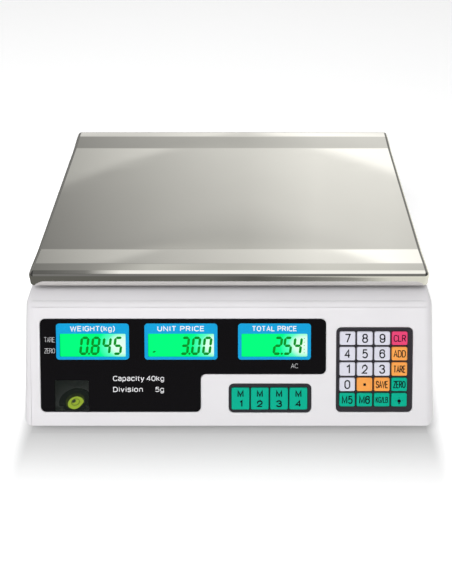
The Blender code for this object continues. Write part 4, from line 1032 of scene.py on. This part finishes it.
def make_pan():
    """The lift-off pan: one polished sheet, sunk in the middle, with rolled edges and a hemmed rim."""
    low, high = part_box("weighing_pan")
    middle_y, half_depth = (low.y + high.y) / 2, (high.y - low.y) / 2
    above = Vector(((low.x + high.x) / 2, middle_y, high.z + 1))
    sink = high.z - frame["nodes"]["weighing_pan"].ray_cast(above, Vector((0, 0, -1)))[1].z
    lean_angle = math.atan2(PAN_LEAN, high.z - low.z)
    angles = [lean_angle + (math.pi / 2 - lean_angle) * i / 12 for i in range(13)]

    def edge(radius):
        centre = (-PAN_LEAN - PAN_EDGE, high.z - PAN_EDGE)
        return [(centre[0] + radius * math.cos(a), centre[1] + radius * math.sin(a)) for a in angles]

    hem = [
        (-PAN_SHEET * (0.5 + 0.5 * math.cos(a)), low.z + 0.5 * MM * (1 - math.sin(a)))
        for a in (0, 0.5, 1.0, math.pi / 2, 2.14, 2.64, math.pi)
    ]
    profile = [*reversed(edge(PAN_EDGE - PAN_SHEET)), *hem, *edge(PAN_EDGE)]
    bm = lofted(box_rect(low, high), PAN_CORNER, profile, 8)
    for inward in (PAN_BORDER, PAN_BORDER + PAN_SLOPE):
        for step in (-1, -0.5, 0, 0.5, 1):
            for side in (-1, 1):
                y = middle_y + side * (half_depth - inward + step * PAN_BEND)
                everything = [*bm.verts, *bm.edges, *bm.faces]
                bmesh.ops.bisect_plane(bm, geom=everything, plane_co=(0, y, 0), plane_no=(0, 1, 0))
    for vert in bm.verts:
        if vert.co.z > (low.z + high.z) / 2:
            inward = half_depth - abs(vert.co.y - middle_y)
            share = (past(inward - PAN_BORDER) - past(inward - PAN_BORDER - PAN_SLOPE)) / PAN_SLOPE
            vert.co.z -= sink * share
    add_piece("pan_sheet", bm, STAINLESS, "pan", WORLD, ["weighing_pan"], 40)


def make_pad(corner):
    """A rubber pad: a stem that plugs into the support's arm, and a round head with a dished top."""
    node = "pad_" + corner
    place, low, high = seat(node)
    radius, height = (high.x - low.x) / 2, high.z - low.z
    stem = 4.8 * MM
    crown = 1.6 * MM
    profile = [
        (0, 0),
        (3.4 * MM, 0),
        (4 * MM, 0.6 * MM),
        (4 * MM, stem),
        (radius - 0.5 * MM, stem),
        (radius, stem + 0.5 * MM),
        (radius, height - crown),
        *((radius - crown * (1 - math.cos(a)), height - crown * (1 - math.sin(a)))
          for a in (0.4, 0.8, 1.2, math.pi / 2)),
        (4.5 * MM, height),
        (4 * MM, height - 0.8 * MM),
        (0, height - 0.8 * MM),
    ]
    place = place @ Matrix.Translation((0, 0, low.z))
    add_piece("corner_" + node, turned(profile), RUBBER, "platform", place, [node])


# ---------------------------------------------------------------- feet

THREAD_PITCH = 1.25 * MM


def thread(low, high, radius, steps=24):
    """A helical thread, as one spiral surface over a rod."""
    bm = bmesh.new()
    core = radius - 0.55 * MM
    profile = ((core, 0.0), (radius, 0.5), (core, 1.0))
    rows = []
    for i in range(int((high - low) / THREAD_PITCH * steps) + 1):
        angle = 2 * math.pi * i / steps
        heights = [min(low + THREAD_PITCH * (i / steps + share), high) for _, share in profile]
        points = [(r * math.cos(angle), r * math.sin(angle), z) for (r, _), z in zip(profile, heights)]
        rows.append([bm.verts.new(point) for point in points])
    for row, following in zip(rows, rows[1:]):
        for k in range(len(profile) - 1):
            bm.faces.new((row[k], following[k], following[k + 1], row[k + 1]))
    return bm


def make_foot(corner):
    """A rubber knob, and the threaded stud with a collar that it turns on."""
    place, low, high = seat("foot_" + corner)
    radius, height = (high.x - low.x) / 2, high.z - low.z
    make_knob("levelling_knob_" + corner, radius, height, place, "knob_" + corner, "foot_" + corner)

    node = "foot_stud_" + corner
    low, high = local_box(node)
    collar, rod = (high.x - low.x) / 2, 2.5 * MM
    section = [
        (0, low.z),
        (rod, low.z),
        (rod, 7.3 * MM),
        (collar - 0.4 * MM, 7.3 * MM),
        (collar, 7.7 * MM),
        (collar, 8.9 * MM),
        (collar - 0.4 * MM, 9.3 * MM),
        (rod, 9.3 * MM),
        (rod, high.z - 0.5 * MM),
        (1.9 * MM, high.z),
        (0, high.z),
    ]
    stud = merge(turned(section, 32), thread(9.4 * MM, high.z - 0.6 * MM, 3 * MM))
    add_piece(
        "levelling_stud_" + corner, stud, STEEL, "stud_" + corner, place, [node]
    )


def make_knob(name, radius, height, place, body, node):
    """A fluted rubber knob with a ribbed sole and a socket for its stud."""
    flutes, steps = 16, 96
    socket = 3.3 * MM
    profile = [
        (0, 2.5 * MM),
        (socket, 2.5 * MM),
        (socket, height),
        (radius * 0.78, height),
        (radius * 0.93, height - 0.9 * MM),
        (radius, height - 2.2 * MM),
        (radius, 1.8 * MM),
        (radius * 0.97, 0.5 * MM),
        (radius * 0.92, 0),
        (radius * 0.62, 0),
        (radius * 0.58, 0.6 * MM),
        (radius * 0.5, 0.6 * MM),
        (radius * 0.46, 0),
        (0, 0),
    ]
    bm = turned(profile, steps)
    for vert in bm.verts:
        reach = Vector(vert.co.xy).length
        if reach > radius * 0.9 and vert.co.z > 0.3 * MM:
            angle = math.atan2(vert.co.y, vert.co.x)
            groove = max(0.0, math.cos(flutes * angle)) ** 2
            vert.co.xy = Vector(vert.co.xy) * (1 - 0.055 * groove)
    add_piece(name, bm, RUBBER, body, place, [node], 50)


# ---------------------------------------------------------------- side fittings


def make_power_switch():
    wall, low, high = seat("power_switch_body", SIDE)
    width, height = (high - low).xy
    bezel = slab(rect(0, 0, width, height), 2 * MM, GAP, high.z, 0.8 * MM)
    inner = rect(0, 0, width - 3.1 * MM, height - 2.9 * MM)
    body = prism(inner, 0.5 * MM, low.z, GAP + 0.5 * MM)
    well_profile = [(0, -4.2 * MM), (0, 1.5 * MM), (1 * MM, 4 * MM)]
    well = lofted(rect(0, 0, 16.8 * MM, 10.4 * MM), 0.8 * MM, well_profile)
    switch = combined(make_object("switch_housing", bezel, wall), [("UNION", body, wall), cut(well, wall)])
    dress(switch, SWITCH_BLACK, "housing", ["power_switch_body"])

    pivot = SIDE.inverted() @ Vector(joint("power_rocker_hinge")["pos_m"])
    place = SIDE @ Matrix.Translation(pivot) @ Matrix.Rotation(math.radians(10), 4, "Y")
    rocker = rocker_mesh(15.2 * MM, 9.6 * MM)
    add_piece("rocker", rocker, SWITCH_RED, "power_rocker", place, ["power_switch_rocker"])
    bar = box_mesh((4.2 * MM, -1.3 * MM, 1.18 * MM), (4.6 * MM, 1.3 * MM, 1.34 * MM))
    add_piece("rocker_on_mark", bar, WHITE_INK, "power_rocker", place)
    ring = shifted(turned_ring(0.95 * MM, 1.35 * MM, 0, 0.14 * MM, 28), (-4.4 * MM, 0, 1.2 * MM))
    add_piece("rocker_off_mark", ring, WHITE_INK, "power_rocker", place)


def rocker_mesh(length, width):
    """A rocker whose two faces rise in shallow curves from its middle to its raised ends."""
    half, side, inset = length / 2, width / 2, 0.35 * MM
    shares = [1 - i / 8 for i in range(17)]
    tops = [(half * share, 0.8 * MM * (1 + abs(share) ** 1.6)) for share in shares]
    section = [(half - 1.2 * MM, -3 * MM), *tops, (-half + 1.2 * MM, -3 * MM)]
    slices = ((-side, inset), (inset - side, 0), (side - inset, 0), (side, inset))
    return skinned([[(x * (1 - thin / half), y, z - thin) for x, z in section] for y, thin in slices])


def make_power_inlet():
    wall, low, high = seat("power_inlet", SIDE)
    bezel = slab(rect(0, 0, *(high - low).xy), 2.5 * MM, GAP, high.z, 0.8 * MM)
    body = prism(rect(0, 0, 20 * MM, 13 * MM), 0.8 * MM, low.z, GAP + 0.5 * MM)
    bottom = high.z - 10 * MM
    recess_profile = [(0, bottom), (0, high.z - 0.5 * MM), (1 * MM, high.z + 0.5 * MM)]
    recess = lofted(rect(0, 0, 15.6 * MM, 8.4 * MM), 4.15 * MM, recess_profile, 12)
    inlet = combined(make_object("inlet_housing", bezel, wall), [("UNION", body, wall), cut(recess, wall)])
    dress(inlet, SWITCH_BLACK, "housing", ["power_inlet"])
    for side in (-1, 1):
        shank = [(0, bottom), (1.2 * MM, bottom), (1.2 * MM, high.z - 2.6 * MM)]
        pin = turned([*shank, (0.8 * MM, high.z - 2.1 * MM), (0, high.z - 2 * MM)], 24)
        place = wall @ Matrix.Translation((side * 4.3 * MM, 0, 0))
        add_piece(f"inlet_pin_{side + 2}", pin, STEEL, "housing", place)


# ---------------------------------------------------------------- fasteners and carried-over parts


def make_case_screws():
    """Pan heads with a cross recess, sunk in the underside's corners."""
    radius, height = 3.1 * MM, 1.1 * MM
    edge = [(radius, 0), (radius, height * 0.45), (radius * 0.9, height * 0.75)]
    low, high = (-1.7 * MM, -0.35 * MM, 0.35 * MM), (1.7 * MM, 0.35 * MM, 2 * MM)
    for x in (-154 * MM, 154 * MM):
        for y in (-72 * MM, 146 * MM):
            head = turned([(0, 0), *edge, (radius * 0.6, height * 0.95), (0, height)], 32)
            flip = Matrix.Translation((x, y, BASE_Z + 1.25 * MM)) @ Matrix.Rotation(math.pi, 4, "X")
            screw = make_object(f"case_screw_{'l' if x < 0 else 'r'}{'f' if y < 0 else 'b'}", head, flip)
            places = (flip @ Matrix.Rotation(turn, 4, "Z") for turn in (0, math.pi / 2))
            combined(screw, [cut(box_mesh(low, high), place) for place in places])
            dress(screw, STEEL, "housing")


def make_cell_bolts():
    """Hexagon-socket bolts that hold the load cell's fixed end."""
    low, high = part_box("load_cell")
    middle = (low.y + high.y) / 2
    for i, y in enumerate((middle - 7.5 * MM, middle + 7.5 * MM)):
        place = Matrix.Translation((low.x + 15 * MM, y, high.z))
        head = turned([(0, 0), (5 * MM, 0), (5 * MM, 5.6 * MM), (4.6 * MM, 6 * MM), (0, 6 * MM)], 32)
        bolt = make_object(f"cell_bolt_{i + 1}", head, place)
        combined(bolt, [cut(prism(circle(2.9 * MM, 6), 0.05 * MM, 2.5 * MM, 8 * MM, 1), place)])
        dress(bolt, STEEL, "housing")


CAD_FINISHES = {
    "base_shell": (BASE, 0.4 * MM),
    "battery_door": (BASE, 0.4 * MM),
    "load_cell_carrier": (STEEL, 0.3 * MM),
    "load_cell": (ALUMINIUM, 0.3 * MM),
    "pan_support": (ALUMINIUM, 0.8 * MM),
    "battery": (BATTERY_CASE, 0.5 * MM),
    "transformer": (COPPER, 0.3 * MM),
    "main_board": (CIRCUIT, 0),
    "key_board": (CIRCUIT, 0),
    "front_display_board": (CIRCUIT, 0),
    "rear_display_module": (CIRCUIT, 0),
    **{node: (BASE, 0.2 * MM) for node in LCD_NODES},
}


def finish_cad_nodes():
    """CAD nodes whose shape is right get their material and softened edges."""
    for name, (material, edge) in CAD_FINISHES.items():
        node = frame["nodes"][name]
        node.data.materials.clear()
        node.data.materials.append(material)
        weld = node.modifiers.new("weld", "WELD")
        weld.merge_threshold = 0.01 * MM
        if edge:
            bevel = node.modifiers.new("soft edges", "BEVEL")
            bevel.width = edge
            bevel.segments = 2
            bevel.limit_method = "ANGLE"
            bevel.angle_limit = math.radians(40)
            bevel.harden_normals = False


# ---------------------------------------------------------------- stage, light and camera

FLOOR_LIFT = 0.36  # the floor's own light, which keeps it white away from the scale
SHADE_REACH = Vector((18, 75, 1000)) * MM  # past the scale's sides and its front
EVEN_LIGHT = 0.28

# Each table holds (where, how bright): the foreground's places are in metres across the counter, the
# contact shade's are shares of its reach, and the rest are parts of the world's direction vector.
FOREGROUND = [
    (-0.4, 0.14), (-0.112, 0.14), (-0.04, 0.17), (0.024, 0.12), (0.08, 0.2), (0.136, 0.33), (0.176, 0.8),
    (0.4, 1.0),
]
CONTACT_SHADE = [(0.0, 0.45), (0.02, 0.49), (0.2, 0.58), (0.45, 0.72), (1.0, 0.98)]
SIDE_BANDS = [(-0.32, 0.38), (-0.16, 0.80), (0.0, 1.25), (0.11, 1.52), (0.22, 1.44), (0.34, 1.1)]
STRIP_BANDS = [(-0.32, 1.0), (-0.25, 1.1), (-0.15, 1.8), (-0.02, 1.35), (0.12, 1.25), (0.27, 0.95)]
TOP_BANDS = [(-0.30, 0.12), (-0.24, 0.2), (-0.19, 0.95), (0.34, 1.0)]
REAR_BANDS = [
    (0.0, 0.85), (0.495, 0.95), (0.505, 0.66), (0.59, 0.55), (0.66, 0.36), (0.70, 0.40), (0.74, 1.15)
]
FRONT_BANDS = [(0.0, 0.16), (0.45, 0.24), (0.66, 0.17), (0.72, 0.18), (0.79, 1.15), (1.0, 1.15)]
EDGE_BANDS = [(0.0, 1.0), (0.36, 1.0), (0.43, 0.25), (1.0, 0.3)]
BAND_HALF_WIDTH = 0.34
# How far up each set of bands across takes over
UPPER = [(0.0, 0.0), (0.485, 0.0), (0.505, 1.0), (0.68, 1.0), (0.76, 0.0)]
STRIP = [(0.0, 0.0), (0.635, 0.0), (0.66, 1.0), (1.0, 1.0)]
TOP = [(0.0, 0.0), (0.70, 0.0), (0.75, 1.0), (1.0, 1.0)]
WHITE = (1, 1, 1, 1)


def mirrored(tree):
    """One where a polished surface is seen to reflect, and zero for the light it passes on to others."""
    path = tree.nodes.new("ShaderNodeLightPath").outputs
    direct = compute(tree, "LESS_THAN", path["Diffuse Depth"], 0.5)
    return compute(tree, "MULTIPLY", path["Is Glossy Ray"], direct)


def contact_shade(made):
    """Grey levels that darken the floor close to the scale's front, more than soft light alone does."""
    def step(operation, *values, output="Vector"):
        return compute(made.tree, operation, *values, kind="VectorMath", output=output)

    outside = step("SUBTRACT", step("ABSOLUTE", made.place), (HALF_WIDTH - 5 * MM, -FRONT_Y, 0))
    shares = step("DIVIDE", step("MAXIMUM", outside, (0, 0, 0)), SHADE_REACH)
    return graded(made.tree, step("LENGTH", shares, output="Value"), CONTACT_SHADE, blue=1)


def make_floor():
    """A white counter. Polished metal sees it as the darker foreground of a studio."""
    bm = bmesh.new()
    bmesh.ops.create_grid(bm, x_segments=1, y_segments=1, size=6)
    floor = make_object("floor", bm)
    light = {"Specular_IOR_Level": 0, "Emission_Strength": FLOOR_LIFT}
    made = Finish("studio_floor", (0.95, 0.95, 0.95), 0.5, **light)
    floor.data.materials.append(made.material)
    shade = contact_shade(made)
    made.feed("Base Color", shade).feed("Emission Color", shade)
    across = made.add("SeparateXYZ", {"Vector": made.place}, "X")
    dark = made.add("Emission", {"Color": graded(made.tree, across, FOREGROUND, -0.4, 0.4, 0.9)}, 0)
    seen = either(made.tree, mirrored(made.tree), made.shader.outputs["BSDF"], dark)
    made.tree.links.new(seen, made.tree.nodes["Material Output"].inputs["Surface"])


def make_world():
    """Even white light for matt surfaces, and a studio's light and dark bands for the polished ones."""
    world = bpy.data.worlds.new("studio")
    bpy.context.scene.world = world
    world.use_nodes = True
    tree = world.node_tree
    tree.nodes.clear()

    def mix(blend, factor, first, second):
        inputs = {"Factor": factor, "A": first, "B": second}
        return add_node(tree, "Mix", inputs, "Result", data_type="RGBA", blend_type=blend)

    def bands_across(bands):
        return graded(tree, across, bands, -BAND_HALF_WIDTH, BAND_HALF_WIDTH)

    def light(strength, colour=WHITE):
        return add_node(tree, "Background", {"Color": colour, "Strength": strength})

    direction = tree.nodes.new("ShaderNodeTexCoord").outputs["Generated"]
    split = tree.nodes.new("ShaderNodeSeparateXYZ")
    tree.links.new(direction, split.inputs["Vector"])
    across, along, up = (split.outputs[axis] for axis in "XYZ")
    off_centre = compute(tree, "ABSOLUTE", across)
    raised = compute(tree, "SUBTRACT", up, compute(tree, "MULTIPLY", off_centre, 0.185))

    side = mix("MIX", graded(tree, up, UPPER), WHITE, bands_across(SIDE_BANDS))
    rear = mix("MULTIPLY", 1.0, graded(tree, raised, REAR_BANDS), side)
    behind = compute(tree, "MULTIPLY", compute(tree, "ADD", along, 0.04), 12.0)
    to_rear = add_node(tree, "Clamp", {"Value": behind}, "Result")
    bands = mix("MIX", to_rear, graded(tree, up, FRONT_BANDS), rear)
    strip = mix("MIX", graded(tree, up, STRIP), WHITE, bands_across(STRIP_BANDS))
    crown = mix("MIX", graded(tree, up, TOP), strip, bands_across(TOP_BANDS))
    edges = graded(tree, off_centre, EDGE_BANDS)
    bands = mix("MULTIPLY", 1.0, mix("MULTIPLY", 1.0, bands, crown), edges)

    lit = either(tree, mirrored(tree), light(EVEN_LIGHT), light(1.0, bands))
    seen = tree.nodes.new("ShaderNodeLightPath").outputs["Is Camera Ray"]
    surface = either(tree, seen, lit, light(1.0))
    tree.links.new(surface, tree.nodes.new("ShaderNodeOutputWorld").inputs["Surface"])


def add_area_light(name, at, size, watts):
    """A rectangular light that faces the scale, and that polished surfaces don't show."""
    light = bpy.data.lights.new(name, "AREA")
    light.shape = "RECTANGLE"
    light.size, light.size_y = size
    light.energy = watts
    obj = bpy.data.objects.new(name, light)
    obj.location = at
    obj.rotation_euler = (Vector((0, 0, 0.05)) - Vector(at)).to_track_quat("-Z", "Y").to_euler()
    obj.visible_glossy = False
    bpy.context.scene.collection.objects.link(obj)


def make_camera():
    """The viewing angle: in front of the vendor's side, looking down at the panel."""
    camera = bpy.data.cameras.new("camera")
    camera.sensor_width = 36
    camera.lens = 39.53
    camera.shift_x = -0.0325
    camera.clip_start = 0.01
    obj = bpy.data.objects.new("camera", camera)
    obj.location = (0.0134, -0.4736, 0.4676)
    obj.rotation_euler = (math.radians(90 - 44.229), 0, 0)
    bpy.context.scene.collection.objects.link(obj)
    bpy.context.scene.camera = obj


make_camera()
make_world()
make_floor()
add_area_light("key_light", (-0.35, -0.85, 1.45), (2.0, 0.9), 20.0)
add_area_light("top_light", (0.4, 0.2, 1.6), (1.4, 1.0), 3)
bpy.context.scene.view_settings.view_transform = "Standard"

make_housing()
level_hole = [rect(*LEVEL_VIEW, *LEVEL_VIEW_SIZE)]
rear_names = [f"rear_lcd_{i}" for i in (1, 2, 3)]
rear_corners = box_rect(rear_low, rear_high)
make_displays("front", FRONT, front_views, LCD_NODES, window_corners(0), level_hole, LCD_NODES[0])
make_panel_words()
make_displays("rear", REAR, rear_views, rear_names, rear_corners, [], "rear_display_module")
make_level()
make_key_frame("keypad_frame", NUMERIC_KEYS)
make_key_frame("memory_key_frame", MEMORY_KEYS)
for key in KEY_NODES:
    make_key(key)
make_pan()
for corner in CORNERS:
    make_pad(corner)
for corner in CORNERS:
    make_foot(corner)
make_power_switch()
make_power_inlet()
make_case_screws()
make_cell_bolts()
finish_cad_nodes()

bpy.context.view_layer.update()
